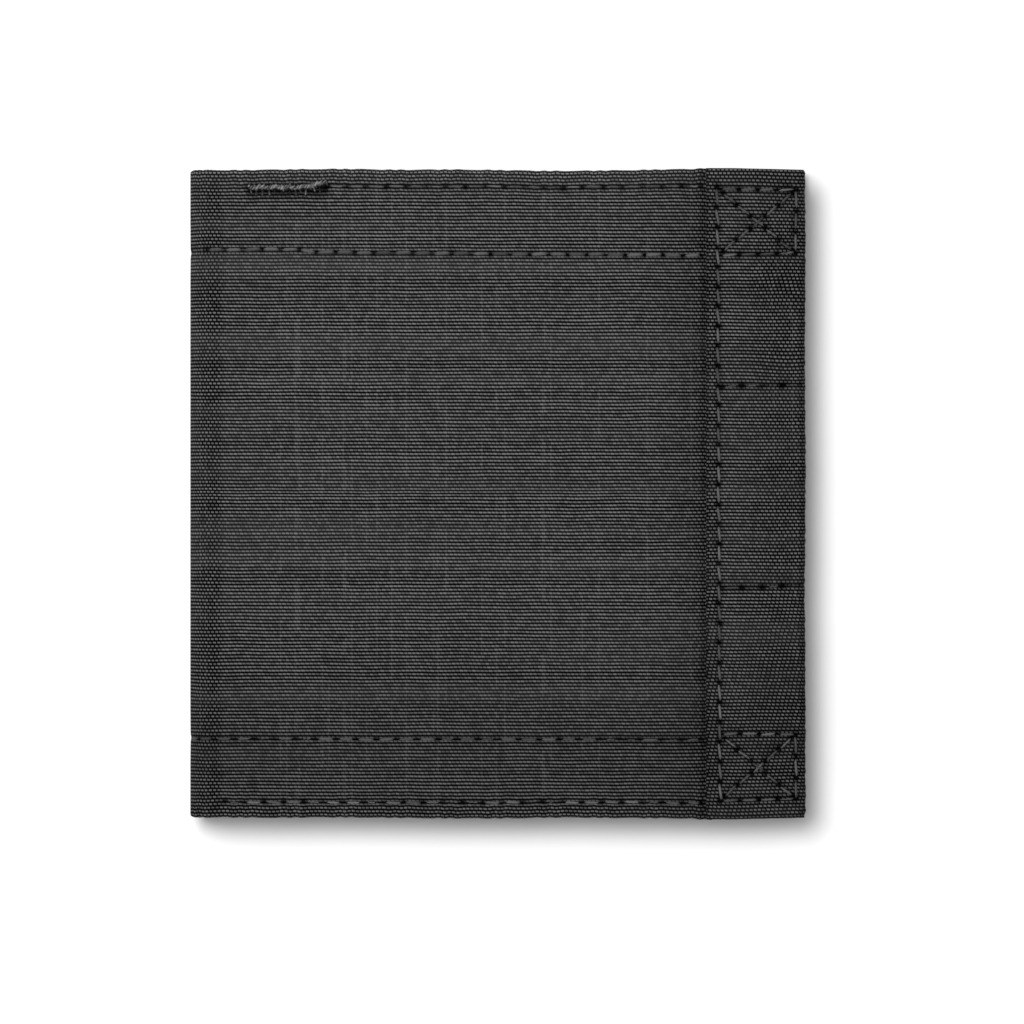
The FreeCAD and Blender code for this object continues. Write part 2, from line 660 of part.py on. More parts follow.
def seam(start, end, height):
    """A straight row of stitches on the plane Z = 0 from one point to another."""
    run = Vector(*end, 0) - Vector(*start, 0)
    count = max(1, round(run.Length / size("stitch_pitch")))
    pitch = run.Length / count
    angle = math.degrees(math.atan2(run.y, run.x))
    bars = []
    for number in range(count):
        bar = stitch(pitch * size("stitch_long") / size("stitch_pitch"), height)
        bar.rotate(Vector(), Vector(0, 0, 1), angle)
        bar.translate(Vector(*start, 0) + run * ((number + 0.5) / count))
        bars.append(bar)
    return bars


def thread(label, bars, placement):
    """One node of loose stitches, carried from the plane Z = 0 by a placement."""
    node = doc.addObject("Part::Feature", label)
    node.Shape = Part.makeCompound([bar for group in bars for bar in group])
    node.Placement = placement
    keep(node, label)


def on_cover(cover, proud=0.0):
    """The placement that lays a plane on the floor of a cover's seam channels."""
    deep = size("channel_depth")
    if cover == "front":
        return FreeCAD.Placement(Vector(0, 0, size("thickness") + proud - deep), Rotation())
    return FreeCAD.Placement(Vector(0, 0, deep), Rotation(Vector(1, 0, 0), 180))


def cover_threads(cover):
    """The hem seams of a cover. The back one is laid out mirrored, because it is turned over."""
    turn = 1 if cover == "front" else -1
    tall = size("channel_depth") + (0.08 if cover == "front" else -0.01)
    left, right = evaluate(CREASE) + 0.5, size("band_edge") - 0.3
    tack_end = size("bartack_start") + (size("bartack_length") if cover == "front" else 0)
    rows = [
        seam((tack_end + 0.4, turn * size("hem_seam_top")), (right, turn * size("hem_seam_top")), tall),
        seam((size("low_seam_start") + 0.4, turn * size("hem_seam_low")), (right, turn * size("hem_seam_low")), tall),
        seam((left, turn * size("row_top")), (right, turn * size("row_top")), tall),
        seam((left, turn * size("row_low")), (right, turn * size("row_low")), tall),
    ]
    thread(f"{cover}_hem_stitches", rows, on_cover(cover))

    proud = size("band_proud") if cover == "front" else 0.0
    seam_x, right_x = size("band_seam"), size("box_right")
    gap = size("channel_width")
    low, high = turn * size("box_low_low"), turn * size("box_top_high")
    lines = [seam((seam_x, low), (seam_x, high), tall)]
    for row in ("grip_low", "grip_high"):
        level = turn * size(row)
        lines.append(seam((seam_x + gap, level), (evaluate(FREE) - size("turn_radius") - 0.2, level), tall))
    thread(f"{cover}_band_stitches", lines, on_cover(cover, proud))

    boxes = []
    for near, far in (("box_top_low", "box_top_high"), ("box_low_high", "box_low_low")):
        inner, outer = turn * size(near), turn * size(far)
        step = gap if outer > inner else -gap
        for level in (inner, outer):
            boxes.append(seam((seam_x + gap, level), (right_x - gap, level), tall))
        boxes.append(seam((right_x, inner + step), (right_x, outer - step), tall))
        middle = Vector((seam_x + right_x) / 2, (inner + outer) / 2, 0)
        for corner in ((seam_x, inner), (seam_x, outer), (right_x, inner), (right_x, outer)):
            arm = (Vector(*corner, 0) - middle) * 0.84
            near_end = middle + arm * 0.14
            boxes.append(seam((near_end.x, near_end.y), (middle.x + arm.x, middle.y + arm.y), tall))
    thread(f"{cover}_box_stitches", boxes, on_cover(cover, proud))


def spine_threads():
    """The hem tapes' inner rows where they cross the spine."""
    tall = size("channel_depth") - 0.01
    low, high = size("shell") + 0.4, size("thickness") - size("shell") - 0.4
    rows = [seam((low, size(row)), (high, size(row)), tall) for row in ("row_top", "row_low")]
    floor = Vector(evaluate(SPINE) + size("channel_depth"), 0, 0)
    # the plane's X runs up the spine, its Y stays along the wallet and its Z points out at -X
    turn = Rotation(Vector(0, 0, 1), Vector(0, 1, 0), Vector(-1, 0, 0))
    thread("spine_stitches", rows, FreeCAD.Placement(floor, turn))


def bartack():
    """The zigzag tack that ends the top hem's seam, over the mouth of the front slip pocket."""
    count = int(size("bartack_bars"))
    pitch = size("bartack_length") / count
    start, level, reach = size("bartack_start"), size("bartack_y"), size("bartack_width")
    bars = []
    for number in range(count):
        bar = stitch(reach, 0.35)
        bar.rotate(Vector(), Vector(0, 0, 1), 90)
        bar.translate(Vector(start + (number + 0.5) * pitch, level, 0))
        bars.append(bar)
    thread("front_bartack", [bars], FreeCAD.Placement(Vector(0, 0, size("thickness")), Rotation()))


for cover in ("back", "front"):
    cover_shell(cover)
    cover_layers(cover)
    edge_band(cover)
spine_shell()
spine_layers()
card_slots()
hook_and_loop()
coin_pocket()
coin_gusset()
zipper_teeth()
zipper_stops()
zipper_slider()
zipper_puller()
for cover in ("back", "front"):
    cover_threads(cover)
spine_threads()
bartack()

doc.recompute()
for item in doc.Objects:
    if "Invalid" in item.State or "Error" in item.State:
        raise RuntimeError(f"{item.Label} failed: {item.State}")
for piece in SUBPARTS:
    if piece.Shape.isNull() or not piece.Shape.isValid():
        raise RuntimeError(f"{piece.Label} has no valid shape")

os.makedirs("parts", exist_ok=True)
for piece in SUBPARTS:
    piece.Shape.exportStep(os.path.join("parts", f"{piece.Label}.step"))
print(f"{len(SUBPARTS)} sub-parts")
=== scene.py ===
"""A closed cloth bifold wallet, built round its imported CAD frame.

It lies on its back cover with the spine at -X and the free edges at +X. Lengths here are in
millimetres until a mesh is made, and every mesh is in metres, in the frame's axes. Cloth is made
flat, as (u, y) with u across the wallet from the middle of the spine, and then rolled on."""

import math

import bmesh
import bpy
import numpy as np
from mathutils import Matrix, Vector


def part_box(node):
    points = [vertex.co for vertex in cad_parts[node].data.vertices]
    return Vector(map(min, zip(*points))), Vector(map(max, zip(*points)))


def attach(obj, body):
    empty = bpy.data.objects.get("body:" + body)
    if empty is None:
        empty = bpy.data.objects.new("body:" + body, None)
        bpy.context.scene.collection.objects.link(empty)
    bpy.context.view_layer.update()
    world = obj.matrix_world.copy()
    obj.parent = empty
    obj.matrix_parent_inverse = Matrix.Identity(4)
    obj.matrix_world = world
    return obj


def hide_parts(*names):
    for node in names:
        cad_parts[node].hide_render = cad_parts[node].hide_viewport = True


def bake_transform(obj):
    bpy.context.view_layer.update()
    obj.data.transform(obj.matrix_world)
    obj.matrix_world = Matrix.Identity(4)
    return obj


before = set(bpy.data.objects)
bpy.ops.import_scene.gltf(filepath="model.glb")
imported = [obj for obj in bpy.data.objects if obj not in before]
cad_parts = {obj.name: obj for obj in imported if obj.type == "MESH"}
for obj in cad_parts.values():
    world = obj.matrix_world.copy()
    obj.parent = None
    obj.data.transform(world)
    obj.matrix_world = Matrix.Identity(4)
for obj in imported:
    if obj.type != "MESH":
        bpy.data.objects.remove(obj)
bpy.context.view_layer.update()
rng = np.random.default_rng(7)

MM = 0.001


def span(node):
    """A CAD node's (lowest, highest) corners in millimetres."""
    low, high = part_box(node)
    return np.array(low) / MM, np.array(high) / MM


# ---------------- places read from the frame

THICK, HALF_Y = span("front_cover_shell")[1][[2, 1]]
BAND_LOW, BAND_HIGH = span("front_edge_band")
BAND_X = BAND_LOW[0]
SPINE_X = span("spine_shell")[0][0]
ROLL = THICK / 2  # radius of the rolled spine
ROLL_X = SPINE_X + ROLL  # X where the roll starts
MID_U = ROLL_X - ROLL * math.pi / 2  # the middle of the spine, on the unrolled cloth

PITCH = 3.08  # stitch pitch of the outer seams
INNER_PITCH = 2.4  # stitch pitch of the seams inside
RIB = 0.54  # pitch of the weave's ribs
FLOAT = 0.643  # repeat of the weave along a rib
HEM = 12.5  # width of the turned hems
SHELL_END = 31.3  # u where the shell's seams end, at the band
ROW_Y, EDGE_Y = 37.5, 47.2  # y of the upper hem's inner row and of its outer row
LINING_DEPTH = 1.34  # of the linings below the shell's face
LINING_END = BAND_X + 8  # u where the linings end, under the band
TOOTH_PITCH = 1.6  # of the zipper

# ---------------- materials


class Nodes:
    """A material's node tree, with short calls for maths."""

    def __init__(self, name):
        self.material = bpy.data.materials.new(name)
        self.material.use_nodes = True
        self.tree = self.material.node_tree
        self.tree.nodes.clear()
        self.shader = self.add("ShaderNodeBsdfPrincipled")
        output = self.add("ShaderNodeOutputMaterial")
        self.link(self.shader.outputs[0], output.inputs["Surface"])

    def add(self, kind, **settings):
        node = self.tree.nodes.new(kind)
        for key, value in settings.items():
            setattr(node, key, value)
        return node

    def link(self, source, target):
        self.tree.links.new(source, target)

    def put(self, value, socket):
        if isinstance(value, (int, float, tuple)):
            socket.default_value = value
        else:
            self.link(value, socket)

    def maths(self, operation, *values, clamp=False):
        node = self.add("ShaderNodeMath", operation=operation, use_clamp=clamp)
        for value, socket in zip(values, node.inputs):
            self.put(value, socket)
        return node.outputs[0]

    def plus(self, a, b):
        return self.maths("ADD", a, b)

    def times(self, a, b):
        return self.maths("MULTIPLY", a, b)

    def scaled(self, value, gain, offset, clamp=False):
        """value * gain + offset"""
        return self.maths("MULTIPLY_ADD", value, gain, offset, clamp=clamp)

    def ramp(self, value, low, high, to_low=0.0, to_high=1.0, smooth=True):
        kind = "SMOOTHSTEP" if smooth else "LINEAR"
        node = self.add("ShaderNodeMapRange", interpolation_type=kind)
        for number, item in enumerate((value, low, high, to_low, to_high)):
            self.put(item, node.inputs[number])
        return node.outputs[0]

    def vector(self, x, y):
        node = self.add("ShaderNodeCombineXYZ")
        for value, socket in zip((x, y), node.inputs):
            self.put(value, socket)
        return node.outputs[0]

    def white(self, vector):
        node = self.add("ShaderNodeTexWhiteNoise", noise_dimensions="3D")
        self.link(vector, node.inputs["Vector"])
        return node.outputs["Value"]

    def noise(self, vector, scale, detail=2.0):
        node = self.add("ShaderNodeTexNoise")
        self.link(vector, node.inputs["Vector"])
        node.inputs["Scale"].default_value = scale
        node.inputs["Detail"].default_value = detail
        return node.outputs["Fac"]

    def attribute(self, name):
        return self.add("ShaderNodeAttribute", attribute_name=name).outputs["Fac"]

    def uv(self):
        node = self.add("ShaderNodeUVMap", uv_map="cloth")
        parts = self.add("ShaderNodeSeparateXYZ")
        self.link(node.outputs[0], parts.inputs[0])
        return parts.outputs[0], parts.outputs[1]

    def place(self):
        return self.add("ShaderNodeTexCoord").outputs["Object"]

    def grey(self, value):
        node = self.add("ShaderNodeCombineColor")
        for socket in node.inputs:
            self.put(value, socket)
        return node.outputs[0]

    def bump(self, height, distance, strength=1.0):
        node = self.add("ShaderNodeBump")
        node.inputs["Strength"].default_value = strength
        node.inputs["Distance"].default_value = distance * MM
        self.link(height, node.inputs["Height"])
        self.link(node.outputs[0], self.shader.inputs["Normal"])

    def finish(self, colour, roughness, **constants):
        self.put(colour, self.shader.inputs["Base Color"])
        self.put(roughness, self.shader.inputs["Roughness"])
        for key, value in constants.items():
            self.shader.inputs[key.replace("_", " ")].default_value = value
        return self.material


def woven(name, crown, gap, rib=RIB, repeat=FLOAT, banding=0.4, line=0.5, slope=0.0, shine=0.02):
    """Woven cloth with ribs along the cloth's first UV axis.

    crown and gap are the linear grey of a yarn's top and of the hollows between yarns, rib and
    repeat the weave's pitches across and along a rib. The bright crowns are a painted highlight
    and the dark hollows painted shade. banding is how much its contrast comes and goes, and line
    is how far the yarns of a rib join into one line. A slope steps each row along from the last,
    in a herringbone, and without one the weave is plain. The mesh gives "tone", which scales the
    colour and carries painted light and shade as well as the cloth's own variation, and "dots",
    which breaks the ribs into dots."""
    n = Nodes(name)
    u, v = n.uv()
    place = n.vector(u, v)

    # The rib and the yarn's float that a point is in, both a little uneven.
    sway = n.scaled(n.noise(place, 0.12), 0.5, -0.25)
    v_rows = n.plus(n.maths("DIVIDE", v, rib), sway)
    row = n.maths("FLOOR", v_rows)
    across = n.maths("SUBTRACT", n.maths("FRACT", v_rows), 0.5)
    by_row = n.white(n.vector(row, 3.7))
    turns, step = (1.0, 0.5) if slope == 0 else (6.0, slope)
    odd = n.times(n.maths("PINGPONG", row, turns), step)
    shift = n.scaled(by_row, 0.07, odd)
    jitter = n.times(n.noise(place, 0.3), 0.9)
    u_cells = n.plus(n.plus(n.maths("DIVIDE", u, repeat), shift), jitter)
    cell = n.maths("FLOOR", u_cells)
    in_cell = n.maths("SUBTRACT", n.maths("FRACT", u_cells), 0.5)
    by_cell = n.white(n.vector(cell, row))

    # The height of the yarn: a ridge along each rib, which dips at the ends of a float.
    dots = n.attribute("dots")
    slow = n.noise(n.vector(n.times(u, 0.03), v), 0.24, 1.0)
    join = n.scaled(slow, 0.3, line - 0.15)
    join = n.plus(join, n.times(odd, 0.12))
    join = n.times(join, n.maths("SUBTRACT", 1.0, dots))
    float_end = n.ramp(n.maths("ABSOLUTE", in_cell), 0.24, 0.5, 1.0, 0.0)
    dip = n.times(float_end, n.maths("SUBTRACT", 1.0, join))
    yarn = n.maths("POWER", n.plus(join, dip), n.scaled(dots, 1.2, 1.0))
    leaning = n.scaled(in_cell, 0.09, across)
    ridge = n.maths("COSINE", n.times(leaning, math.pi))
    ridge = n.maths("POWER", n.maths("MAXIMUM", ridge, 0.0), 3.1)
    height = n.times(yarn, ridge)

    # How bright each yarn is, with now and then a thick one across the ribs.
    contrast = n.scaled(slow, 2 * banding, 1.0 - banding)
    gain = n.scaled(by_row, 0.28, 0.84)
    gain = n.plus(gain, n.times(odd, 0.08))
    gain = n.times(gain, n.scaled(by_cell, 0.6, 0.66))
    column = n.white(n.vector(n.maths("FLOOR", n.maths("DIVIDE", u, repeat / 2)), 11.3))
    stretched = n.vector(n.times(u, 0.6), n.times(v, 0.12))
    broken = n.maths("GREATER_THAN", n.noise(stretched, 1.0), 0.5)
    slub = n.times(n.maths("GREATER_THAN", column, 0.9), broken)
    gain = n.scaled(slub, 0.2, gain)
    gain = n.times(gain, n.scaled(n.noise(place, 0.09, 3.0), 0.3, 0.85))
    # Painted highlight on the yarn tops and painted shade in the hollows between them.
    lit = n.times(n.maths("POWER", height, 1.2), gain)
    lit = n.scaled(n.maths("SUBTRACT", lit, 0.35), contrast, 0.35, clamp=True)
    value = n.scaled(lit, crown - gap, gap)
    value = n.scaled(slub, crown * 0.035, value)
    value = n.times(value, n.attribute("tone"))
    n.bump(height, 0.14, 0.55)
    rough = n.ramp(height, 0.0, 1.0, 0.9, 0.62, smooth=False)
    return n.finish(n.grey(value), rough, Specular_IOR_Level=shine)


def spun(name, level):
    """Sewing thread: fine fibres along the strand, which the mesh already twists."""
    n = Nodes(name)
    u, v = n.uv()
    along = n.vector(n.times(u, 1.5), n.times(v, 9.0))
    fibres = n.noise(along, 3.0)
    fuzz = n.noise(n.vector(u, v), 0.8, 1.0)
    value = n.scaled(fibres, 1.0, 0.5)
    value = n.times(value, n.scaled(fuzz, 0.4, 0.8))
    value = n.times(n.times(value, level), n.attribute("tone"))
    n.bump(fibres, 0.05, 0.5)
    return n.finish(n.grey(value), 0.6, Specular_IOR_Level=0.08)


def moulded(name, level, grain, rough, shine):
    """Dark moulded plastic: a fine orange peel and slightly paler scuffs."""
    n = Nodes(name)
    place = n.place()
    peel = n.noise(place, 2200.0 * grain, 3.0)
    scuff = n.ramp(n.noise(place, 420.0, 4.0), 0.56, 0.72)
    value = n.scaled(scuff, level * 0.9, level)
    value = n.times(value, n.scaled(peel, 0.5, 0.75))
    n.bump(peel, 0.03, 0.4)
    rough = n.scaled(scuff, 0.2, rough)
    return n.finish(n.grey(value), rough, Specular_IOR_Level=shine)


def enamelled(name, level, metal_level):
    """Black enamel over cast metal, worn through in specks."""
    n = Nodes(name)
    place = n.place()
    specks = n.ramp(n.noise(place, 900.0, 5.0), 0.62, 0.7)
    patches = n.ramp(n.noise(place, 260.0), 0.55, 0.7)
    worn = n.times(specks, patches)
    grain = n.noise(place, 3000.0)
    value = n.scaled(worn, metal_level - level, level)
    value = n.times(value, n.scaled(grain, 0.4, 0.8))
    n.put(worn, n.shader.inputs["Metallic"])
    n.bump(grain, 0.02, 0.3)
    rough = n.scaled(n.noise(place, 700.0, 3.0), 0.25, 0.35)
    return n.finish(n.grey(value), rough, Specular_IOR_Level=0.3)


SHELL_CLOTH = woven("shell_cloth", 0.152, 0.0005, line=0.42)
BAND_CLOTH = woven("band_cloth", 0.142, 0.0005, line=0.36)
LINING_CLOTH = woven("lining_cloth", 0.06, 0.004, 0.3, 0.34, 0.05, 0.35, shine=0.25)
POCKET_CLOTH = woven("pocket_cloth", 0.1, 0.002, 0.42, 0.5, 0.12, 0.45, shine=0.1)
BINDING_TAPE = woven("binding_tape", 0.13, 0.003, 0.5, 0.3, 0.03, 0.75, shine=0.15)
ZIPPER_TAPE = woven("zipper_tape", 0.11, 0.002, 0.3, 0.9, 0.03, 0.1, slope=0.2, shine=0.1)
HOOK_BASE = woven("hook_base", 0.07, 0.003, 0.36, 0.4, 0.05, 0.4, shine=0.15)
LOOP_BASE = woven("loop_base", 0.06, 0.002, 0.33, 0.31, 0.05, 0.2, shine=0.05)
THREAD = spun("thread", 0.13)
BARTACK_THREAD = spun("bartack_thread", 0.19)
LOOP_PILE = spun("loop_pile", 0.075)
TOOTH_PLASTIC = moulded("tooth_plastic", 0.025, grain=1.0, rough=0.42, shine=0.3)
HOOK_PLASTIC = moulded("hook_plastic", 0.035, grain=1.4, rough=0.4, shine=0.4)
SLIDER_METAL = enamelled("slider_metal", 0.016, 0.16)
PULLER_METAL = enamelled("puller_metal", 0.02, 0.2)

# ---------------- mesh helpers


def corners_of(values):
    """The four corners of every cell of a grid of values, one cell after another."""
    cells = [values[:-1, :-1], values[1:, :-1], values[1:, 1:], values[:-1, 1:]]
    return np.stack([c.reshape(-1, *values.shape[2:]) for c in cells], axis=1)


def quads(grid, uv, girth=None):
    """Points, quads and corner UVs of a grid. With a girth, its last column joins its first."""
    rows, columns = grid.shape[:2]
    index = np.arange(rows * columns).reshape(rows, columns)
    if girth is not None:
        index = np.concatenate([index, index[:, :1]], axis=1)
        uv = np.concatenate([uv, uv[:, :1] + [0, girth]], axis=1)
    return grid.reshape(-1, 3), corners_of(index), corners_of(uv)


def joined(parts):
    """Several (points, quads, UVs) as one."""
    start, faces = 0, []
    for points, cells, _ in parts:
        faces.append(cells + start)
        start += len(points)
    points, _, uvs = zip(*parts)
    return np.concatenate(points), np.concatenate(faces), np.concatenate(uvs)


def build(name, shape, material, attributes=None, weld=False):
    """A smooth-shaded object from (points, quads, UVs), in millimetres. weld joins the points
    that meet and turns every face outwards."""
    points, faces, uv = shape
    mesh = bpy.data.meshes.new(name)
    mesh.from_pydata((points * MM).tolist(), [], faces.tolist())
    layer = mesh.uv_layers.new(name="cloth")
    layer.data.foreach_set("uv", uv.astype(np.float32).ravel())
    wanted = {"tone": 1.0, "dots": 0.0}
    wanted.update(attributes or {})
    for key, value in wanted.items():
        filled = np.broadcast_to(np.asarray(value, dtype=np.float32).ravel(), (len(points),))
        layer = mesh.attributes.new(key, "FLOAT", "POINT")
        layer.data.foreach_set("value", np.ascontiguousarray(filled))
    mesh.polygons.foreach_set("use_smooth", np.ones(len(mesh.polygons), dtype=bool))
    mesh.materials.append(material)
    if weld:
        work = bmesh.new()
        work.from_mesh(mesh)
        bmesh.ops.remove_doubles(work, verts=work.verts, dist=1e-7)
        bmesh.ops.recalc_face_normals(work, faces=work.faces)
        work.to_mesh(mesh)
        work.free()
    mesh.update()
    piece = bpy.data.objects.new(name, mesh)
    bpy.context.scene.collection.objects.link(piece)
    return piece


def lines(low, high, step, dense=()):
    """Ascending coordinates from low to high, a step apart, or closer in the zones of dense,
    which are (centre, reach, step) each."""
    values = [low]
    while values[-1] < high - 1e-6:
        here = values[-1]
        stride = step
        for centre, reach, fine in dense:
            if centre - reach <= here < centre + reach:
                stride = min(stride, fine)
            elif here < centre - reach:
                stride = min(stride, max(fine, centre - reach - here))
        values.append(min(here + stride, high))
    return np.array(values)


def gauss(distance, width):
    """A smooth hump, 1 where distance is 0."""
    return np.exp(-((distance / width) ** 2))


def plateau(distance, width):
    """A hump with a flatter top and steeper sides than gauss."""
    return np.exp(-((distance / width) ** 4))


def unit(rows):
    return rows / np.linalg.norm(rows, axis=1)[:, None]


def summed(steps):
    """How far along a line its points are, from the lengths of the steps between them."""
    return np.concatenate([[0], np.cumsum(steps)])


def rounded(low, high, radius, count, *spacing):
    """Coordinates from low to high with round ends, and how much of a layer's thickness is left
    at each. spacing is the rest of what lines takes."""
    ends = np.linspace(0, math.pi / 2, count)
    inward = radius * (1 - np.sin(ends))
    between = lines(low + radius, high - radius, *spacing)[1:-1]
    places = np.concatenate([low + inward[::-1], between, high - inward])
    return places, np.concatenate([np.cos(ends[::-1]), np.ones(len(between)), np.cos(ends)])


class Seam:
    """A row of stitches between two or more points: its needle holes and the stitches between.

    Its threads lie at a tilt, have a radius, shade times the usual brightness, and are sunk into
    the cloth. pit is how deep its holes are and how much painted shade darkens them, and the
    holes differ."""

    def __init__(self, *corners, pitch=PITCH, tilt=0.0, radius=0.24, shade=1.0, sunk=0.0, pit=1.0):
        holes = []
        for start, end in zip(corners, corners[1:]):
            start, end = np.array(start, float), np.array(end, float)
            count = max(1, round(np.linalg.norm(end - start) / pitch))
            holes += [start + (end - start) * k / count for k in range(count)]
        holes.append(np.array(corners[-1], float))
        self.holes = np.array(holes)
        self.holes[1:-1] += rng.normal(0, 0.05, (len(holes) - 2, 2))
        self.pits = pit * rng.uniform(0.4, 1.1, len(holes))
        self.tilt, self.radius, self.shade, self.sunk = tilt, radius, shade, sunk


def press(x, y, seams, groove=0.2, hole=0.3, puff=0.12, spread=0.42, shaded=0.34):
    """How far seams press the cloth in at points (x, y), and the painted shade they put in their
    grooves and needle holes.

    groove and hole are depths, puff is how far the cloth rises between seams, spread is a hole's
    width, and shaded is how much painted shade darkens the groove."""
    near_line = np.full(x.shape, 9.0)
    pits = np.zeros(x.shape)
    for seam in seams:
        low, high = seam.holes.min(0) - 4, seam.holes.max(0) + 4
        inside = (x > low[0]) & (x < high[0]) & (y > low[1]) & (y < high[1])
        if not inside.any():
            continue
        px, py = x[inside], y[inside]
        line, deep = near_line[inside], pits[inside]
        for a, b, *ends in zip(seam.holes, seam.holes[1:], seam.pits, seam.pits[1:]):
            close = (np.abs(px - (a[0] + b[0]) / 2) < 6) & (np.abs(py - (a[1] + b[1]) / 2) < 6)
            qx, qy = px[close], py[close]
            d = b - a
            t = np.clip(((qx - a[0]) * d[0] + (qy - a[1]) * d[1]) / (d @ d), 0, 1)
            beside = np.hypot(qx - a[0] - t * d[0], qy - a[1] - t * d[1])
            line[close] = np.minimum(line[close], beside)
            for h, pit in zip((a, b), ends):
                dip = pit * gauss(np.hypot(qx - h[0], qy - h[1]), spread)
                deep[close] = np.maximum(deep[close], dip)
        near_line[inside], pits[inside] = line, deep
    drop = groove * gauss(near_line, 0.42) + hole * pits
    rise = puff * (1 - gauss(near_line, 1.9))
    # The tone is painted shade, darker along each groove and darker still in the needle holes.
    tone = 1 - shaded * gauss(near_line, 0.45) - 0.9 * pits
    return rise - puff - drop, np.clip(tone, 0.04, 1)


def slack(x, y, reach, seed):
    """Smooth unevenness of cloth, as a sum of long waves."""
    made = np.random.default_rng(seed)
    total = np.zeros_like(x)
    longest = 40
    for _ in range(9):
        angle = made.uniform(0, math.pi)
        length = made.uniform(9, longest)
        phase = made.uniform(0, 2 * math.pi)
        along = x * math.cos(angle) + y * math.sin(angle)
        total += np.sin(along * 2 * math.pi / length + phase) * length / longest
    return total * reach / 3


# ---------------- the shell


def row_top(u):
    """Where the front's upper inner row runs. It steps down once and then slants slowly."""
    return ROW_Y - 0.4 * np.clip((u + 30.4) / 2.6, 0, 1) - 0.5 * np.clip((u + 27.8) / 60, 0, 1)


# How the threads of each kind of row lie, as Seam takes it.
INNER_ROW = {"tilt": 0.015, "radius": 0.27, "shade": 0.61, "sunk": 0.06}
FAINT_ROW = {"tilt": 0.015, "radius": 0.22, "shade": 0.48, "sunk": 0.1, "pit": 0.7}
SPINE_ROW = {"radius": 0.2, "shade": 0.25, "sunk": 0.12, "pit": 0.5}
OUTER_ROW = {"tilt": -0.03, "radius": 0.18, "shade": 0.78, "sunk": 0.08}
HEM_SEAMS = [
    Seam((MID_U, ROW_Y), (-45.2, ROW_Y), **SPINE_ROW),
    Seam(*[(u, float(row_top(u))) for u in (-44.7, -30.4, -27.8, 2, SHELL_END)], **INNER_ROW),
    Seam((MID_U, -37.6), (SHELL_END, -37.8), **FAINT_ROW),
    Seam((-41.9, -47.4), (SHELL_END, -47.4), **OUTER_ROW),
    Seam((-26.1, EDGE_Y), (SHELL_END, EDGE_Y), **OUTER_ROW),
]
BACK_SEAMS = [
    Seam((MID_U, 37.1), (SHELL_END, 37.1), **INNER_ROW),
    Seam((MID_U, -37.6), (SHELL_END, -37.6), **INNER_ROW),
    Seam((-41.9, -47.3), (SHELL_END, -47.3), **OUTER_ROW),
    Seam((-38.1, EDGE_Y), (SHELL_END, EDGE_Y), **OUTER_ROW),
]


def roll(u, y, h, front):
    """Wraps unrolled cloth onto the wallet: u runs from the middle of the spine to the free edge
    and h stands out of the cloth. The back cover is the front one mirrored in Z."""
    angle = np.clip((ROLL_X - u) / ROLL, 0, None)
    out = ROLL + h
    x = np.where(angle > 0, ROLL_X - out * np.sin(angle), u)
    z = np.where(angle > 0, ROLL + out * np.cos(angle), THICK + h)
    return np.stack([x, y, z if front else THICK - z], axis=-1)


def lower_edge_shade(y):
    """Painted shade: how much darker the cloth is made towards the wallet's lower edge, away from
    the light.
    """
    return 0.24 * np.clip((-12 - y) / 26, 0, 1) ** 1.3


def cover_height(u, y, front):
    """Height of a cover's cloth over its plane, and its tone. The back cover lies flat."""
    drop, tone = press(u, y, HEM_SEAMS if front else BACK_SEAMS)
    inside = np.clip((u - ROLL_X) / 8, 0, 1) * np.clip((BAND_X - u) / 8, 0, 1)
    height = drop + slack(u, y, 0.09, 3 if front else 4) * inside
    height -= 0.35 * gauss(BAND_X - 0.2 - u, 3.4)
    height -= 0.5 * np.clip((u - (BAND_X - 0.9)) / 0.9, 0, 1)
    return (height if front else np.minimum(height * 0.25, 0) - 0.01), tone


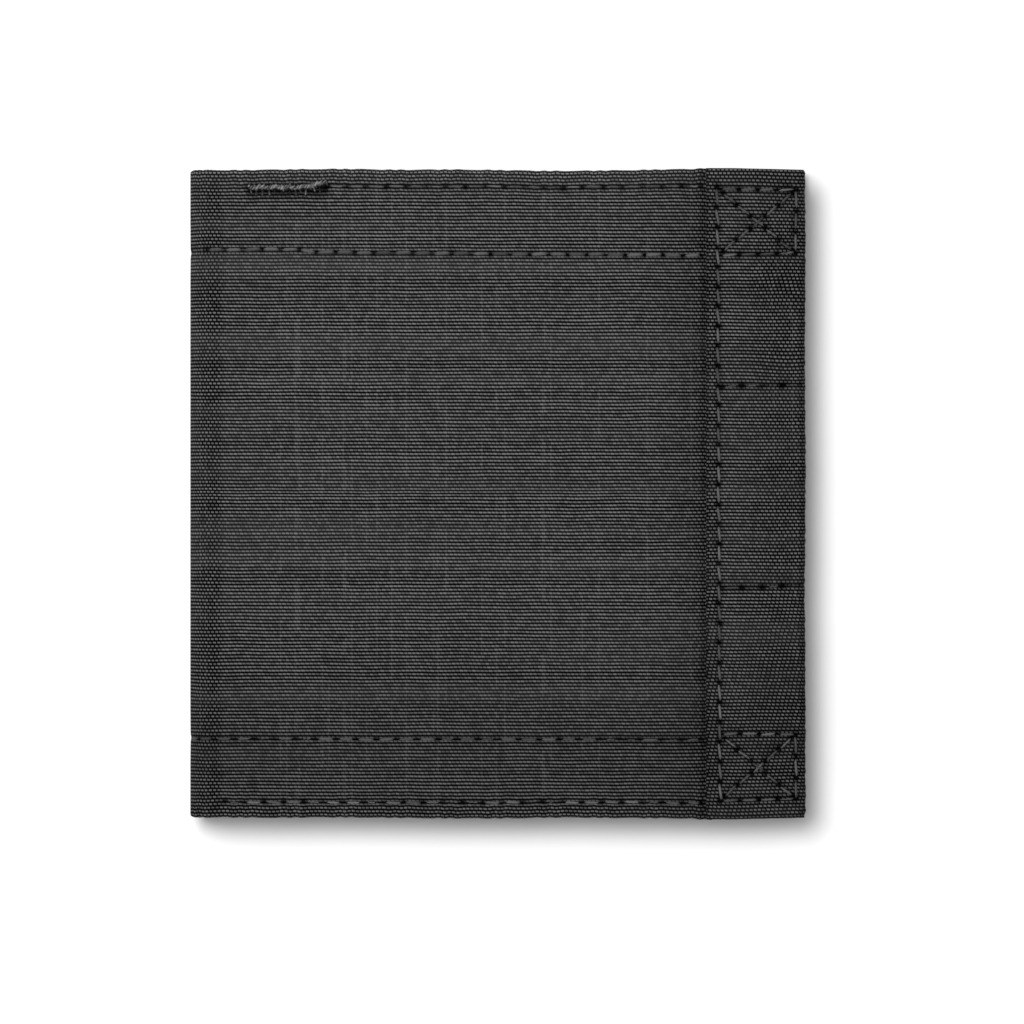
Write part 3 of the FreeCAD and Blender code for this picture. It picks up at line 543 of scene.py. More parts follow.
def cover_shell(front):
    """The outer cloth of one cover and half of the spine, with its hems turned in."""
    name = "front" if front else "back"
    u_lines = lines(MID_U, BAND_X + 0.9, 0.36, [(BAND_X - 0.3, 1.2, 0.18)])

    # The cloth from hem to hem: a lip and a leaf inside, the fold, the face, and back again.
    turn, leaf = 0.5, 1.8  # the fold's radius, and how deep the leaf lies
    fold_y, hem_y = HALF_Y - turn, HALF_Y - HEM
    y_dense = [(37.1, 1.1, 0.15), (-37.7, 0.9, 0.15), (-47.4, 0.9, 0.15), (EDGE_Y, 0.9, 0.15)]
    y_face = lines(-fold_y, fold_y, 1.5, y_dense)
    arc = np.linspace(0, math.pi, 11)[1:-1]
    leaf_y = np.linspace(fold_y, hem_y, 9)
    lip_y, lip_d = hem_y + np.array([-0.1, -0.1, 0.2]), leaf - np.array([0.1, 0.35, 0.5])
    outward = np.concatenate([fold_y + turn * np.sin(arc), leaf_y, lip_y])
    fold_d = leaf / 2 * (1 - np.cos(arc))
    deeper = np.concatenate([fold_d, np.full(len(leaf_y), leaf), lip_d])
    y = np.concatenate([-outward[::-1], y_face, outward])
    depth = np.concatenate([deeper[::-1], np.zeros(len(y_face)), deeper])
    length = summed(np.hypot(np.diff(y), np.diff(depth)))
    middle = len(y_face) // 2
    v = length - length[len(deeper) + middle] + y_face[middle]

    u2, y2 = np.meshgrid(u_lines, y, indexing="ij")
    d2 = np.broadcast_to(depth, u2.shape)
    height, tone = cover_height(u2, y2, front)
    on_face = np.clip(1 - d2 / 0.6, 0, 1)
    from_middle = np.abs(y2)
    wobble = slack(u2, np.sign(y2) * 30, 0.14, 5 if front else 6)
    wobble += 0.05 * np.sin(u2 * 2.1 + np.sin(u2 * 0.8) * 2)
    wobble += 0.15 * np.clip((u2 - BAND_X + 2.6) / 2.2, 0, 1)
    wobble *= np.clip((from_middle - 44) / 5, 0, 1)
    grid = roll(u2, y2 + np.sign(y2) * (wobble - 0.1), height * on_face - d2, front)

    # Seen from above, the cloth is creased in a belt 3 mm in from the spine's edge.
    apart = u2 - ROLL_X
    from_edge = ROLL * (1 - np.sin(np.clip(-apart / ROLL, 0, math.pi / 2)))
    from_edge += np.clip(apart, 0, None)
    creased = plateau(from_edge - 3.0, 1.9)
    tone = 1 + (tone - 1) * on_face
    # Painted light in the tone: painted shade where the face dips towards the band, on the
    # outermost roll of the spine and towards the lower edge, and a painted highlight on the turned
    # top and bottom edges.
    tone = tone * (1 - 0.09 * creased) * (1 - 0.2 * gauss(u2 - BAND_X, 6))
    tone = tone * (1 - 0.12 * gauss(from_edge, 0.8)) * (1 - lower_edge_shade(y2))
    tone = tone * (1 + 0.17 * np.clip(from_middle - 47.6, 0, 1))
    dots = 0.05 + 0.95 * creased + np.clip(from_middle - 47.9, 0, 0.5)
    dots = np.clip(dots + 0.5 * gauss(u2 - BAND_X, 2.2), 0, 1)
    if front:  # painted shade on the cloth round and under the bartack
        low, high = span("front_bartack")
        reach = (high[0] - low[0]) / 2 - 0.6
        beyond = np.clip(np.abs(u2 - (low[0] + high[0]) / 2) - reach, 0, None)
        tone = tone * (1 - 0.9 * plateau(np.hypot(beyond, y2 - 46.8), 1.08) * on_face)

    shape = quads(grid, np.stack([u2, np.broadcast_to(v, u2.shape)], axis=-1))
    piece = build(f"{name}_shell_cloth", shape, SHELL_CLOTH, {"tone": tone, "dots": dots})
    return piece


def fold(piece, front):
    """Bakes a piece's transform into its mesh, the same for either cover."""
    if front:
        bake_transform(piece)
    else:
        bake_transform(piece)


def strand(points, radius, ply=0.13, sides=12, normal=None, flat=1.0):
    """The grid, UVs and girth of a three-ply strand along a path of points.

    ply is how far its plies stand out, and flat is its height over its width. A path that stands
    up lies in one plane, and normal is that plane's."""
    steps = unit(np.gradient(points, axis=0))
    side = np.cross(steps, [0, 0, 1.0]) if normal is None else np.broadcast_to(normal, steps.shape)
    side = unit(side)
    up = np.cross(side, steps)
    travelled = summed(np.linalg.norm(np.diff(points, axis=0), axis=1))
    angle = np.linspace(0, 2 * math.pi, sides, endpoint=False)
    wide = radius * (1 + ply * np.cos(3 * angle[None, :] - 8.6 * travelled[:, None]))
    around = np.cos(angle)[None, :, None] * side[:, None]
    around = around + flat * np.sin(angle)[None, :, None] * up[:, None]
    grid = points[:, None] + wide[..., None] * around
    uv = np.stack(np.broadcast_arrays(travelled[:, None], (angle * radius)[None, :]), axis=-1)
    return grid, uv + rng.uniform(0, 50, 2), 2 * math.pi * radius


def stitches(seams, surface, place, steps=11):
    """Every stitch of some seams, laid on surface(x, y), and the threads' tones."""
    parts, tones = [], []
    for seam in seams:
        for a, b in zip(seam.holes, seam.holes[1:]):
            t = np.linspace(0.07, 0.93, steps)
            along = 2 * np.linspace(0, 1, steps) - 1
            across = np.array([a[1] - b[1], b[0] - a[0]])
            path = a + (b - a) * t[:, None]
            path += across * ((t - 0.5) * seam.tilt * 2)[:, None]
            path += across * (rng.normal(0, 0.006) + rng.normal(0, 0.01) * along)[:, None]
            level = surface(path[:, 0], path[:, 1])
            level = np.minimum(level, level.mean()) * 0.4 + level.mean() * 0.6
            height = level + seam.radius * 0.45 - np.abs(along) ** 5 * 0.45
            height -= seam.sunk * rng.uniform(0.5, 1.8)
            grid, uv, girth = strand(np.column_stack([path, height]), seam.radius, flat=0.6)
            parts.append(quads(place(grid), uv, girth))
            # Each stitch's brightness differs at random, with painted shade towards its ends,
            # where the thread dives into the cloth.
            shade = seam.shade * rng.uniform(0.5, 1.2) * (1 - 0.8 * np.abs(along) ** 5)
            tones.append(np.repeat(shade, grid.shape[1]))
    return joined(parts), {"tone": np.concatenate(tones)}


def threads(name, seams, surface, place, steps=11):
    """One piece with every stitch of some seams."""
    shape, tones = stitches(seams, surface, place, steps)
    piece = build(name, shape, THREAD, tones)
    return piece


def hem_stitches(front):
    """The threads along the hems of one cover and half of the spine."""
    sunk = 0 if front else 0.16

    def surface(u, y):
        return cover_height(u, y, front)[0]

    def place(g):
        return roll(g[..., 0], g[..., 1], g[..., 2] - sunk, front)

    name = "front_hem_thread" if front else "back_hem_thread"
    return threads(name, HEM_SEAMS if front else BACK_SEAMS, surface, place)


front_shell = cover_shell(True)
back_shell = cover_shell(False)
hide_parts("front_cover_shell", "front_top_hem_tape", "front_bottom_hem_tape")
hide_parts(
    "back_cover_shell",
    "back_top_hem_tape",
    "back_bottom_hem_tape",
    "spine_shell",
    "spine_top_hem_tape",
    "spine_bottom_hem_tape",
)
front_thread = hem_stitches(True)
back_thread = hem_stitches(False)
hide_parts("front_hem_stitches")
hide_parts("back_hem_stitches", "spine_stitches")
for piece in (front_shell, front_thread):
    fold(piece, True)
for piece in (back_shell, back_thread):
    fold(piece, False)

# ---------------- the edge bands

BAND_ROW = {"tilt": 0.06, "radius": 0.19, "shade": 0.68, "sunk": 0.0}
CROSS_ROW = {"tilt": 0.02, "radius": 0.15, "shade": 0.7, "sunk": 0.05}
BOX_ROW = {"tilt": 0.03, "radius": 0.18, "shade": 0.62, "sunk": 0.02}
X_ROW = {"pitch": 2.7, "tilt": 0.05, "radius": 0.17, "shade": 0.55, "sunk": 0.01, "pit": 1.0}
BAND_SEAMS = [
    Seam((33.75, 47.0), (34.15, -47.2), **BAND_ROW),
    Seam((34.4, 16.4), (46.8, 16.75), **CROSS_ROW),
    Seam((34.4, -14.5), (46.8, -14.05), **CROSS_ROW),
    Seam((34.2, 46.8), (45.8, 46.6), (45.75, 36.9), (34.2, 36.6), **BOX_ROW),
    Seam((34.6, 46.2), (45.3, 37.2), **X_ROW),
    Seam((34.6, 37.2), (45.3, 46.2), **X_ROW),
    Seam((34.4, -47.1), (45.8, -46.9), (45.8, -37.0), (34.4, -36.9), **BOX_ROW),
    Seam((34.8, -46.5), (45.3, -37.4), **X_ROW),
    Seam((34.8, -37.4), (45.3, -46.5), **X_ROW),
]


def band_height(x, y, front):
    """Height of a band's cloth over its plane, and its tone. The back band lies flat."""
    puff = 0.3 if front else 0.1
    drop, tone = press(x, y, BAND_SEAMS, 0.2, 0.4, puff, spread=0.45, shaded=0.55)
    height = drop + slack(x, y, 0.07, 8 if front else 9)
    return (height if front else np.minimum(height * 0.2, 0) - 0.01), tone


def edge_band(front):
    """The strip folded round a cover's free edge."""
    name = "front" if front else "back"
    low, high = span(f"{name}_edge_band")
    top, bottom = (high[2], low[2]) if front else (THICK - low[2], THICK - high[2])
    middle, half = (top + bottom) / 2, (top - bottom) / 2
    lip, nose = 0.28, 1.1  # radii of the strip's turned edges and of its fold
    arc = np.linspace(0, math.pi, 17)[1:-1]
    lip_arc = np.linspace(0, math.pi / 2, 6)
    lip_x = lip * (1 - np.sin(lip_arc))
    lip_z = lip * (1 - np.sin(math.pi / 2 - lip_arc))
    face_x = lines(low[0] + lip, high[0] - nose, 0.21)
    inner_x = lines(low[0] + lip, high[0] - nose, 0.8)[::-1]
    outline = [  # (x, z) round the strip: its edge, the face, the fold, the inner side, its edge
        (low[0] + np.array([0.3, 0.02]), top - np.array([0.75, 0.62])),
        (low[0] + lip_x[:-1], top - lip_z[:-1][::-1]),
        (face_x, np.full(len(face_x), top)),
        (high[0] - nose + nose * np.sin(arc), middle + half * np.cos(arc)),
        (inner_x, np.full(len(inner_x), bottom)),
        (low[0] + lip_x[::-1][1:], bottom + lip_z[1:]),
        ([low[0] + 0.3], [bottom + 0.4]),
    ]
    x, z = (np.concatenate(column) for column in zip(*outline))
    y, shrink = rounded(-BAND_HIGH[1], BAND_HIGH[1], 0.75, 8, 0.22)
    length = summed(np.hypot(np.diff(x), np.diff(z)))

    y2, x2 = np.meshgrid(y, x, indexing="ij")
    z2 = np.broadcast_to(z, x2.shape)
    s2 = np.broadcast_to(shrink[:, None], x2.shape)
    height, tone = band_height(x2, y2, front)
    on_face = np.clip((z2 - top + 0.5) / 0.5, 0, 1)
    z2 = middle + (z2 - middle) * s2 + height * on_face * s2
    from_middle = np.abs(y2)
    scallop = 0.05 * np.sin(y2 * 2.3 + np.sin(y2 * 0.9) * 2) + 0.03 * np.sin(y2 * 5.1)
    corner = -0.25 * np.clip((from_middle - HALF_Y + 0.9) / 1.1, 0, 1) ** 2
    wobble = slack(y2, x2 * 0, 0.07, 10 if front else 11) + scallop + corner
    wobble *= np.clip((x2 - 44) / 3, 0, 1)
    taper = 1 - 0.005 * np.clip((x2 - 36) / 11, 0, 1) * (y2 / HALF_Y) ** 2
    grid = np.stack([x2 + wobble, y2 * taper, z2 if front else THICK - z2], axis=-1)

    # Tone: a painted shadow at the strip's inner edge, where it lies over the shell, and dark at
    # the knot of the upper box; paler on the ridge before the seam; a painted highlight just
    # inside the free edge and painted shade right at it; painted shade towards the lower edge.
    tone = 1 + (tone - 1) * on_face
    tone *= 1 - 0.5 * gauss(x2 - low[0], 0.5)
    if front:
        tone *= 1 - 0.8 * gauss(np.hypot(x2 - 44.6, (y2 - 46.8) * 1.5), 1.3) * on_face
    ridge = (x2 < 33.6) * on_face
    tone = tone * (1 - 0.1 * np.clip((x2 - 38) / 9, 0, 1)) * (1 - 0.7 * lower_edge_shade(y2))
    free_edge_highlight_and_shade = 0.15 * gauss(x2 - 45.9, 0.35) * (from_middle < 46) - 0.18 * gauss(x2 - 46.6, 0.5)
    tone *= 1 + 0.1 * ridge + free_edge_highlight_and_shade

    # The weave is pulled askew below the upper box and over the upper cross row.
    pull = gauss(x2 - 44.0, 3.5) * gauss(y2 - 32.5, 3)
    lean = 0.35 * np.minimum(y2 + 14, 0) + 0.4 * pull * (32.5 - y2)
    strain = -0.12 * pull + 0.3 * gauss(x2 - 45, 4) * gauss(y2 - 19, 2.5)
    dots = 0.15 + np.clip((x2 - 38) / 8.0, 0, 0.6) + np.clip(from_middle - 47.6, 0, 0.8)
    dots = np.clip(dots + 0.6 * ridge + 0.4 * np.clip((-18 - y2) / 12, 0, 1), 0, 1)
    dots = np.clip(dots + 0.6 * pull, 0, 1)
    uv = np.stack([length + 60 + lean, y2 + 0.22 + strain], axis=-1)
    piece = build(f"{name}_band_cloth", quads(grid, uv), BAND_CLOTH, {"tone": tone, "dots": dots})
    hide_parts(f"{name}_edge_band")
    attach(piece, f"{name}_cover")

    def surface(x, y):
        return band_height(x, y, front)[0]

    def place(g):
        z = g[..., 2] + top
        return np.stack([g[..., 0], g[..., 1], z if front else THICK - z + 0.16], axis=-1)

    for label, seams in (("band", BAND_SEAMS[:3]), ("box", BAND_SEAMS[3:])):
        thread = threads(f"{name}_{label}_thread", seams, surface, place)
        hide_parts(f"{name}_{label}_stitches")
        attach(thread, f"{name}_cover")


edge_band(True)
edge_band(False)


def bartack():
    """The dense row of stitches near the front's top left corner: a twisted rope of threads that
    turns up at its right end, over short threads across it and loops below it."""
    low, high = span("front_bartack")
    base = THICK - 0.1
    parts, tones = [], []

    def rope_y(x):
        turned_up = 0.9 * np.clip((x - high[0] + 4) / 4, 0, 1) ** 1.5
        return (low[1] + high[1]) / 2 + 0.12 + 0.1 * np.sin(x * 2.9) + turned_up

    def add(path, radius, shade):
        grid, uv, girth = strand(path, radius, sides=8)
        parts.append(quads(grid, uv, girth))
        tones.append(np.repeat(np.broadcast_to(shade, len(path)), grid.shape[1]))

    x = np.arange(low[0] + 0.1, high[0] - 0.1, 0.07)
    for turn in (0, math.pi):
        twist = x * 6.6 + np.sin(x * 1.3) * 1.5 + turn
        y, z = rope_y(x) + 0.2 * np.sin(twist), base + 0.3 + 0.1 * np.cos(twist)
        # Painted highlight where each strand comes up on top of the twist, painted shade where it
        # goes under.
        shade = (0.5 + 0.4 * np.cos(twist)) * (0.9 + 0.45 * np.sin(x * 3.1 + turn))
        add(np.column_stack([x, y, z]), 0.16, shade)
    t = np.linspace(0, 1, 8)
    hump = np.sin(t * math.pi)
    for start in np.arange(low[0] + 0.15, high[0] - 0.1, 0.42):  # threads across the rope
        way = rng.choice([-1, 1])
        y = rope_y(start) + way * (t - 0.5) * rng.uniform(0.7, 1.1)
        z = base + 0.1 + 0.28 * hump + rng.uniform(-0.05, 0.12)
        radius = rng.uniform(0.09, 0.14)
        # Painted shade at their ends, where they dive into the cloth.
        shade = rng.choice([0.1, 0.3, 0.6, 1.0]) * (0.3 + 0.7 * hump)
        add(np.column_stack([start + 0.35 * t, y, z]), radius, shade)
    for start in np.arange(low[0] + 0.5, high[0] - 0.6, 0.95):  # loops below it
        start, drop = start + rng.uniform(-0.2, 0.2), rng.uniform(0.7, 1.3)
        x = start + rng.uniform(-0.25, 0.25) * t
        y, z = rope_y(start) - 0.15 - drop * t, base - 0.05 + 0.3 * np.cos(t * 1.6)
        radius = rng.uniform(0.1, 0.15)
        # Painted shade near the rope, where the loops run under it.
        shade = rng.choice([0.2, 0.5, 1.3]) * (0.05 + 0.95 * t**2)
        add(np.column_stack([x, y, z]), radius, shade)
    tone = {"tone": np.concatenate(tones)}
    piece = build("front_bartack_thread", joined(parts), BARTACK_THREAD, tone)
    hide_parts("front_bartack")
    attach(piece, "front_cover")


bartack()

# ---------------- the linings


def lining(front):
    """The lining of one cover and half of the spine. The stiffener behind it is hidden, not built.
    """
    name = "front" if front else "back"
    margin = 0.9  # short of the shell at the top and the bottom
    y_lines = lines(-HALF_Y + margin, HALF_Y - margin, 1.2)
    u, y = np.meshgrid(lines(MID_U, LINING_END, 0.6), y_lines, indexing="ij")
    ripple = slack(u * 1.6, y, 0.07, 21 if front else 22) * np.clip((36.5 - np.abs(y)) / 4, 0, 1)
    grid = roll(u, y, -LINING_DEPTH - np.abs(ripple), front)
    piece = build(f"{name}_lining_cloth", quads(grid, np.stack([y, u], axis=-1)), LINING_CLOTH)
    spine = [] if front else ["spine_lining"]
    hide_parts(f"{name}_lining", f"{name}_interlining", *spine)
    fold(piece, front)


lining(True)
lining(False)

# ---------------- layers sewn inside


def slab(name, low, high, up, material, turned=False, seams=(), step=0.8, inset=0.0, sag=None):
    """A flat layer of cloth with rolled edges between two corners. Its seen face looks towards
    +Z with up=1 and -Z with up=-1. turned lays the weave along Y."""
    low, high = low + np.array([inset, inset, 0]), high - np.array([inset, inset, 0])
    wide, thick = high[0] - low[0], high[2] - low[2]
    r = 0.49 * min(wide, thick)
    tall = thick / 2 - r
    upright_seams = [s for s in seams if np.ptp(s.holes[:, 0]) < 2]
    dense_x = [(x, 0.9, 0.22) for s in upright_seams for x in s.holes[:, 0]][:6]
    dense_y = [(s.holes[0, 1], 0.9, 0.22) for s in seams if np.ptp(s.holes[:, 1]) < 2]
    flat_x = lines(low[0] + r, high[0] - r, step, dense_x)
    quarter = np.linspace(0, math.pi / 2, 5)
    outline = [  # (x, z) round the layer, starting along its seen face
        (flat_x, np.full(len(flat_x), thick / 2)),
        (high[0] - r + r * np.sin(quarter[1:]), tall + r * np.cos(quarter[1:])),
        (high[0] - r + r * np.cos(quarter), -tall - r * np.sin(quarter)),
        (flat_x[::-1][:-1], np.full(len(flat_x) - 1, -thick / 2)),
        (low[0] + r - r * np.sin(quarter), -tall - r * np.cos(quarter)),
        (low[0] + r - r * np.cos(quarter[:-1]), tall + r * np.sin(quarter[:-1])),
    ]
    x, z = (np.concatenate(column) for column in zip(*outline))
    y, shrink = rounded(low[1], high[1], r, 5, step, dense_y)
    y2, x2 = np.meshgrid(y, x, indexing="ij")
    z2 = z[None, :] * shrink[:, None]
    on_face = np.clip((z2 - thick / 2 + 0.12) / 0.1, 0, 1)
    drop, seam_shade = press(x2, y2, seams, groove=0.12, hole=0.1, puff=0.05)
    level = (low[2] + high[2]) / 2 + up * (z2 + drop * on_face) + (sag(x2, y2) if sag else 0)
    length = summed(np.hypot(np.diff(x), np.diff(z)))
    girth = length[-1] + math.hypot(x[0] - x[-1], z[0] - z[-1])
    around = np.broadcast_to(length, x2.shape) + low[0]
    grid, uv = np.stack([x2, y2, level], axis=-1), np.stack([y2, around], axis=-1)
    points, cells, uv = quads(grid, uv, girth)
    if not turned:
        uv = uv[..., ::-1]
    if up < 0:
        cells, uv = cells[:, ::-1], uv[:, ::-1]
    # Painted shade of the seams' grooves and holes, on the seen face only.
    tone = 1 + (seam_shade - 1) * on_face
    return build(name, (points, cells, uv), material, {"tone": tone}, weld=True)


def sew(name, low, high, up, body, seams, sag=None):
    """The stitches of seams on a layer's seen face."""
    face = high[2] if up > 0 else low[2]

    def surface(x, y):
        return 0 * x - 0.06

    def place(g):
        common = sag(g[..., 0], g[..., 1]) if sag else 0
        return np.stack([g[..., 0], g[..., 1], face + up * g[..., 2] + common], axis=-1)

    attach(threads(name, seams, surface, place, steps=9), body)


def inner(*corners):
    """A seam on the layers inside, finer than the outer ones."""
    return Seam(*corners, pitch=INNER_PITCH, radius=0.18, shade=0.8)


def upright(x, reach):
    """A seam along Y."""
    return inner((x, -reach), (x, reach))


def at_sides(start, end, reach=46.4):
    """Two seams along X, at the top and the bottom of a pocket."""
    return [inner((start, y), (end, y)) for y in (reach, -reach)]


# material, slot, and whether the weave is turned
POCKET = (POCKET_CLOTH, "pocket_cloth", True)
BINDING = (BINDING_TAPE, "binding_tape", False)
TAPE = (ZIPPER_TAPE, "zipper_tape", False)

# name, CAD node, the three above, seams
FRONT_LAYERS = [
    ("front_slip_pocket_cloth", "front_slip_pocket", *POCKET, []),
    ("front_pocket_binding", "front_pocket_mouth_tape", *BINDING, [upright(-35.0, 47.0)]),
    ("card_slot_1_cloth", "card_slot_1", *POCKET, at_sides(-25.4, -21.4)),
    ("card_slot_1_binding", "card_slot_1_mouth_tape", *BINDING, [upright(-26.9, 47.0)]),
    ("card_slot_2_cloth", "card_slot_2", *POCKET, at_sides(-16.4, -12.4)),
    ("card_slot_2_binding", "card_slot_2_mouth_tape", *BINDING, [upright(-17.9, 47.0)]),
    (
        "card_slot_3_cloth",
        "card_slot_3",
        *POCKET,
        [*at_sides(-7.4, 30.6), upright(30.3, 46.2), inner((-7.4, 0.4), (30.0, 0.4))],
    ),
    ("card_slot_3_binding", "card_slot_3_mouth_tape", *BINDING, [upright(-8.9, 47.0)]),
]
COIN_SEAM = ((-22.0, 45.4), (30.7, 45.4), (30.7, -45.4), (-22.0, -45.4))
BACK_LAYERS = [
    ("back_slip_pocket_cloth", "back_slip_pocket", *POCKET, []),
    ("back_pocket_binding", "back_pocket_mouth_tape", *BINDING, []),
    (
        "coin_zip_strip_cloth",
        "coin_pocket_zip_strip",
        *POCKET,
        [upright(-31.7, 45.9), upright(-36.3, 45.9)],
    ),
    ("coin_panel_cloth", "coin_pocket_panel", *POCKET, [upright(-22.3, 45.9), inner(*COIN_SEAM)]),
    ("zipper_tape_left_cloth", "zipper_tape_left", *TAPE, []),
    ("zipper_tape_right_cloth", "zipper_tape_right", *TAPE, []),
]


def add_layers(layers, up, body, seed):
    """Builds the layers of one cover and their seams. They all sag alike but the zipper's."""

    def sag(x, y):
        return slack(x, y, 0.05, seed)

    for name, node, material, slot, turned, seams in layers:
        low, high = span(node)
        inset = 0.4 if "slip" in node else 0.0 if "tape" in node else 0.05
        sagging = None if "zipper" in node else sag
        piece = slab(name, low, high, up, material, turned, seams, inset=inset, sag=sagging)
        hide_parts(node)
        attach(piece, body)
        if seams:
            sew(name.replace("_cloth", "") + "_thread", low, high, up, body, seams, sag)


add_layers(FRONT_LAYERS, -1, "front_cover", 31)
add_layers(BACK_LAYERS, 1, "back_cover", 32)


def gusset():
    """The pleated wall round three sides of the coin pocket."""
    low, high = span("coin_pocket_gusset")
    wall, corner, step = 0.5, 2.0, 1.2  # depth of the pleats, radius of the corners, spacing
    bend = np.linspace(0, math.pi / 2, 7)
    left, right, reach = low[0] + 0.1, high[0] - 0.1, high[1] - 0.1
    from_x, from_y = right - corner, reach - corner  # the corners' middle
    x_run = np.arange(left, from_x, step)
    path = [(x, -reach) for x in x_run]
    path += [(from_x + corner * math.sin(a), -from_y - corner * math.cos(a)) for a in bend]
    path += [(right, y) for y in np.arange(-from_y + 1, from_y, step)]
    path += [(from_x + corner * math.cos(a), from_y + corner * math.sin(a)) for a in bend]
    path += [(x, reach) for x in x_run[::-1]]
    path = np.array(path)
    steps = unit(np.gradient(path, axis=0))
    inward = np.stack([-steps[:, 1], steps[:, 0]], axis=1)
    rise = np.linspace(0, 1, 13)
    pleat = wall * np.abs(np.sin(rise * 2 * math.pi)) ** 0.8
    z = low[2] + (high[2] - low[2]) * rise
    along = summed(np.linalg.norm(np.diff(path, axis=0), axis=1))
    xy = path[:, None] + inward[:, None] * pleat[None, :, None]
    grid = np.concatenate([xy, np.broadcast_to(z[None, :, None], (*xy.shape[:2], 1))], axis=2)
    uv = np.stack(np.broadcast_arrays(along[:, None], rise[None, :] * 2.4), axis=-1)
    piece = build("coin_gusset_cloth", quads(grid, uv), POCKET_CLOTH)
    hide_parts("coin_pocket_gusset")
    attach(piece, "back_cover")


gusset()

# ---------------- the zipper


def teeth(side):
    """One row of the zipper's teeth: a root clamped on the tape, a neck and a round head."""
    low, high = span(f"zipper_teeth_{side}")
    toward = 1 if side == "left" else -1
    outer = low[0] if side == "left" else high[0]
    reach = high[0] - low[0] + 0.45
    wide = 0.7
    count = round((high[1] - low[1] - wide) / TOOTH_PITCH) + 1

    # Places along a tooth, and its half width and half height at each.
    station = np.array([0, 0.0, 0.08, 0.45, 0.6, 0.72, 0.86, 0.96, 1.0, 1.0]) * reach
    half_y = np.array([0, 0.3, 0.36, 0.36, 0.26, 0.26, 0.38, 0.32, 0.14, 0])
    half_z = np.array([0, 0.42, 0.5, 0.5, 0.42, 0.4, 0.44, 0.38, 0.2, 0])
    angle = np.linspace(0, 2 * math.pi, 14, endpoint=False)
    c, s = np.cos(angle), np.sin(angle)
    square_y, square_z = np.sign(c) * np.abs(c) ** 0.7, np.sign(s) * np.abs(s) ** 0.7
    parts = []
    for k in range(count):
        y = low[1] + wide / 2 + TOOTH_PITCH * k
        grid = np.stack([
            np.broadcast_to((outer + toward * station)[:, None], (len(station), len(angle))),
            y + half_y[:, None] * square_y[None, :],
            (low[2] + high[2]) / 2 + half_z[:, None] * square_z[None, :],
        ], axis=-1)
        uv = np.stack(np.broadcast_arrays(station[:, None], (angle * 0.4)[None, :]), axis=-1)
        parts.append(quads(grid, uv, 2.5))
    piece = build(f"zipper_teeth_{side}_row", joined(parts), TOOTH_PLASTIC, weld=True)
    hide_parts(f"zipper_teeth_{side}")
    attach(piece, "back_cover")


teeth("left")
teeth("right")
for node, material in (
    ("zipper_top_stop", TOOTH_PLASTIC),
    ("zipper_bottom_stop", TOOTH_PLASTIC),
    ("zipper_slider", SLIDER_METAL),
    ("zipper_puller", PULLER_METAL),
):
    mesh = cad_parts[node].data
    mesh.materials.clear()
    mesh.materials.append(material)

# ---------------- hook and loop tapes


def hook_pile(low, high, face, room):
    """Rows of nylon hooks, every second row turned the other way, hanging from the face."""
    parts = []
    arc = np.linspace(0, 1.25 * math.pi, 8)
    out = np.concatenate([[0, 0], 0.2 * (1 - np.cos(arc))])
    rise = np.concatenate([[-0.1, 0.3], room - 0.3 + 0.2 * np.sin(arc)])
    for row, x in enumerate(np.arange(low[0] + 1.8, high[0] - 1.6, 1.1)):
        for y in np.arange(low[1] + 1.9, high[1] - 1.7, 1.25) + 0.5 * (row % 2):
            way = rng.normal(0, 0.12) + (0 if row % 2 else math.pi)
            hook_x, hook_y = x + out * math.sin(way), y + out * math.cos(way)
            path = np.column_stack([hook_x, hook_y, face - rise])
            normal = (math.cos(way), -math.sin(way), 0)
            parts.append(quads(*strand(path, 0.1, 0, 6, normal)))
    return joined(parts)


def loop_pile(low, high, face, room):
    """Brushed loops, strewn over the face and leaning every way, no taller than room."""
    parts = []
    arc = np.linspace(0, math.pi, 8)
    first, last = low + 0.7, high - 0.7
    for _ in range(1100):
        x, y = rng.uniform(first[0], last[0]), rng.uniform(first[1], last[1])
        way, half = rng.uniform(0, math.pi), rng.uniform(0.25, 0.55)
        tall = rng.uniform(0.35, room - 0.15)
        lean = rng.normal(0, 0.25)
        along, across = -half * np.cos(arc), lean * np.sin(arc)
        path = np.column_stack([
            x + along * math.cos(way) - across * math.sin(way),
            y + along * math.sin(way) + across * math.cos(way),
            face - 0.05 + tall * np.sin(arc),
        ])
        normal = np.array([-math.sin(way) * tall, math.cos(way) * tall, -lean])
        parts.append(quads(*strand(path, 0.055, 0, 4, normal)))
    return joined(parts)


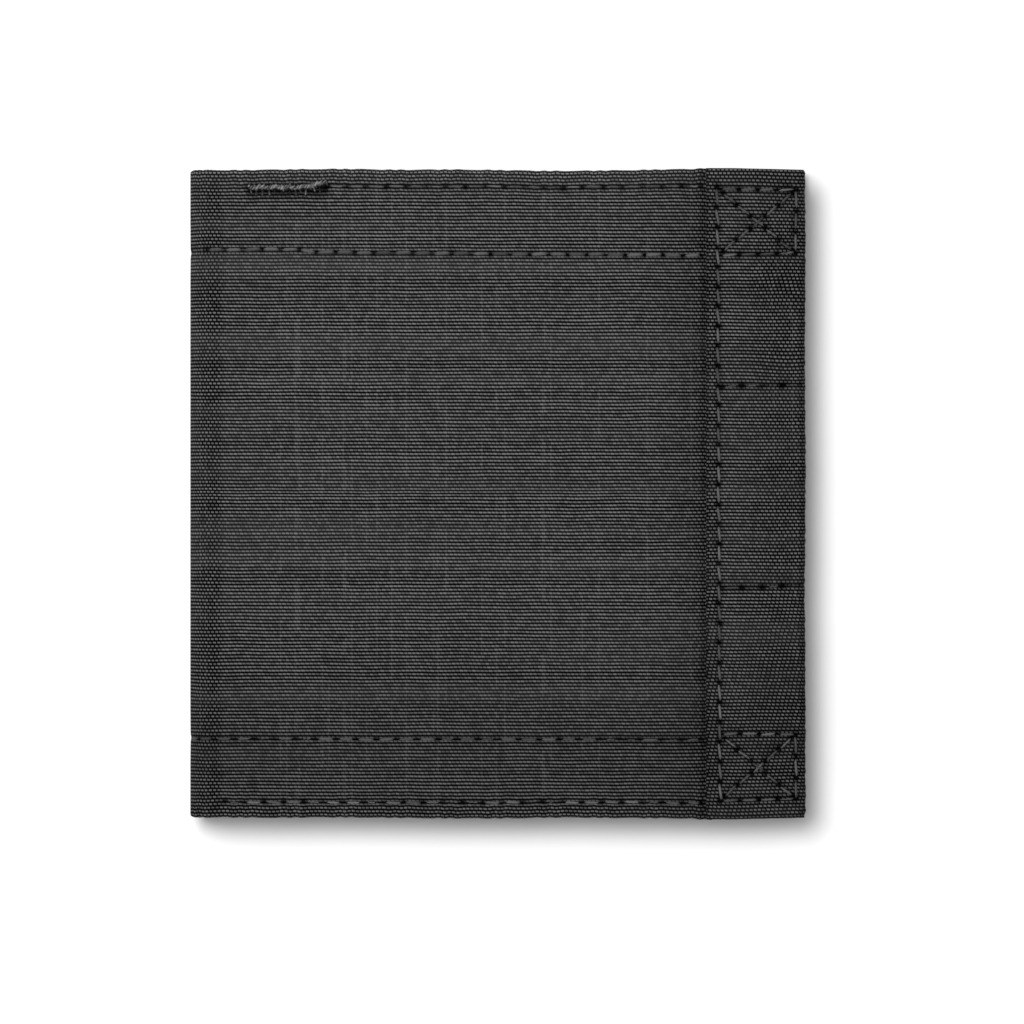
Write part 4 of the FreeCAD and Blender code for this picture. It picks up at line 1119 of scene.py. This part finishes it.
def fastener(hooks):
    """A tape of nylon hooks, or of brushed loops, with stitches round its edge."""
    name, body, up = ("hook", "front_cover", -1) if hooks else ("loop", "back_cover", 1)
    low, high = span(f"{name}_tape")
    thick = 0.55  # of the base, and the pile fills the rest
    base_low, base_high = low.copy(), high.copy()
    if hooks:
        base_low[2] = high[2] - thick
        face, room = base_low[2], base_low[2] - low[2]
    else:
        base_high[2] = low[2] + thick
        face, room = base_high[2], high[2] - base_high[2]
    near, far = low[:2] + 0.9, high[:2] - 0.9
    seam = inner(near, (far[0], near[1]), far, (near[0], far[1]), near)
    material = HOOK_BASE if hooks else LOOP_BASE
    base = slab(f"{name}_tape_base", base_low, base_high, up, material, True, [seam], step=0.6)
    sew(f"{name}_tape_thread", base_low, base_high, up, body, [seam])
    shape = (hook_pile if hooks else loop_pile)(low, high, face, room)
    pile = build(f"{name}_tape_{name}s", shape, HOOK_PLASTIC if hooks else LOOP_PILE)
    for piece in (base, pile):
        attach(piece, body)
    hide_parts(f"{name}_tape")


fastener(True)
fastener(False)

# ---------------- stage, light and camera

reach = 3.0
table = -0.00003  # just under the wallet
corners = [(x * reach, y * reach, table) for x, y in ((-1, -1), (1, -1), (1, 1), (-1, 1))]
ground = bpy.data.meshes.new("floor")
ground.from_pydata(corners, [], [(0, 1, 2, 3)])
floor = bpy.data.objects.new("floor", ground)
bpy.context.scene.collection.objects.link(floor)
paper = bpy.data.materials.new("paper")
paper.use_nodes = True
looks = {"Base Color": (0.95, 0.95, 0.95, 1), "Roughness": 0.9, "Specular IOR Level": 0.1}
for socket, value in looks.items():
    paper.node_tree.nodes["Principled BSDF"].inputs[socket].default_value = value
ground.materials.append(paper)

scene = bpy.context.scene
world = bpy.data.worlds.new("studio")
scene.world = world
world.use_nodes = True
sky = world.node_tree.nodes["Background"].inputs
sky["Color"].default_value = (1, 1, 1, 1)
sky["Strength"].default_value = 0.39

light = bpy.data.lights.new("key", "AREA")
light.shape = "SQUARE"
light.size = 0.66
light.energy = 12.7
key = bpy.data.objects.new("key", light)
key.location = (-0.31, 0.3, 1.0)
key.rotation_euler = (-key.location).to_track_quat("-Z", "Y").to_euler()
scene.collection.objects.link(key)

# Straight above the wallet, which fills three fifths of the frame and sits left of its middle.
lens = bpy.data.cameras.new("camera")
camera = bpy.data.objects.new("camera", lens)
scene.collection.objects.link(camera)
frame_width, distance = 157.1 * MM, 1.6
lens.sensor_width = 36
lens.lens = 36 * distance / frame_width
lens.clip_end = 20
camera.location = (2.23 * MM, -2.81 * MM, THICK * MM + distance)
scene.camera = camera
scene.view_settings.view_transform = "Standard"
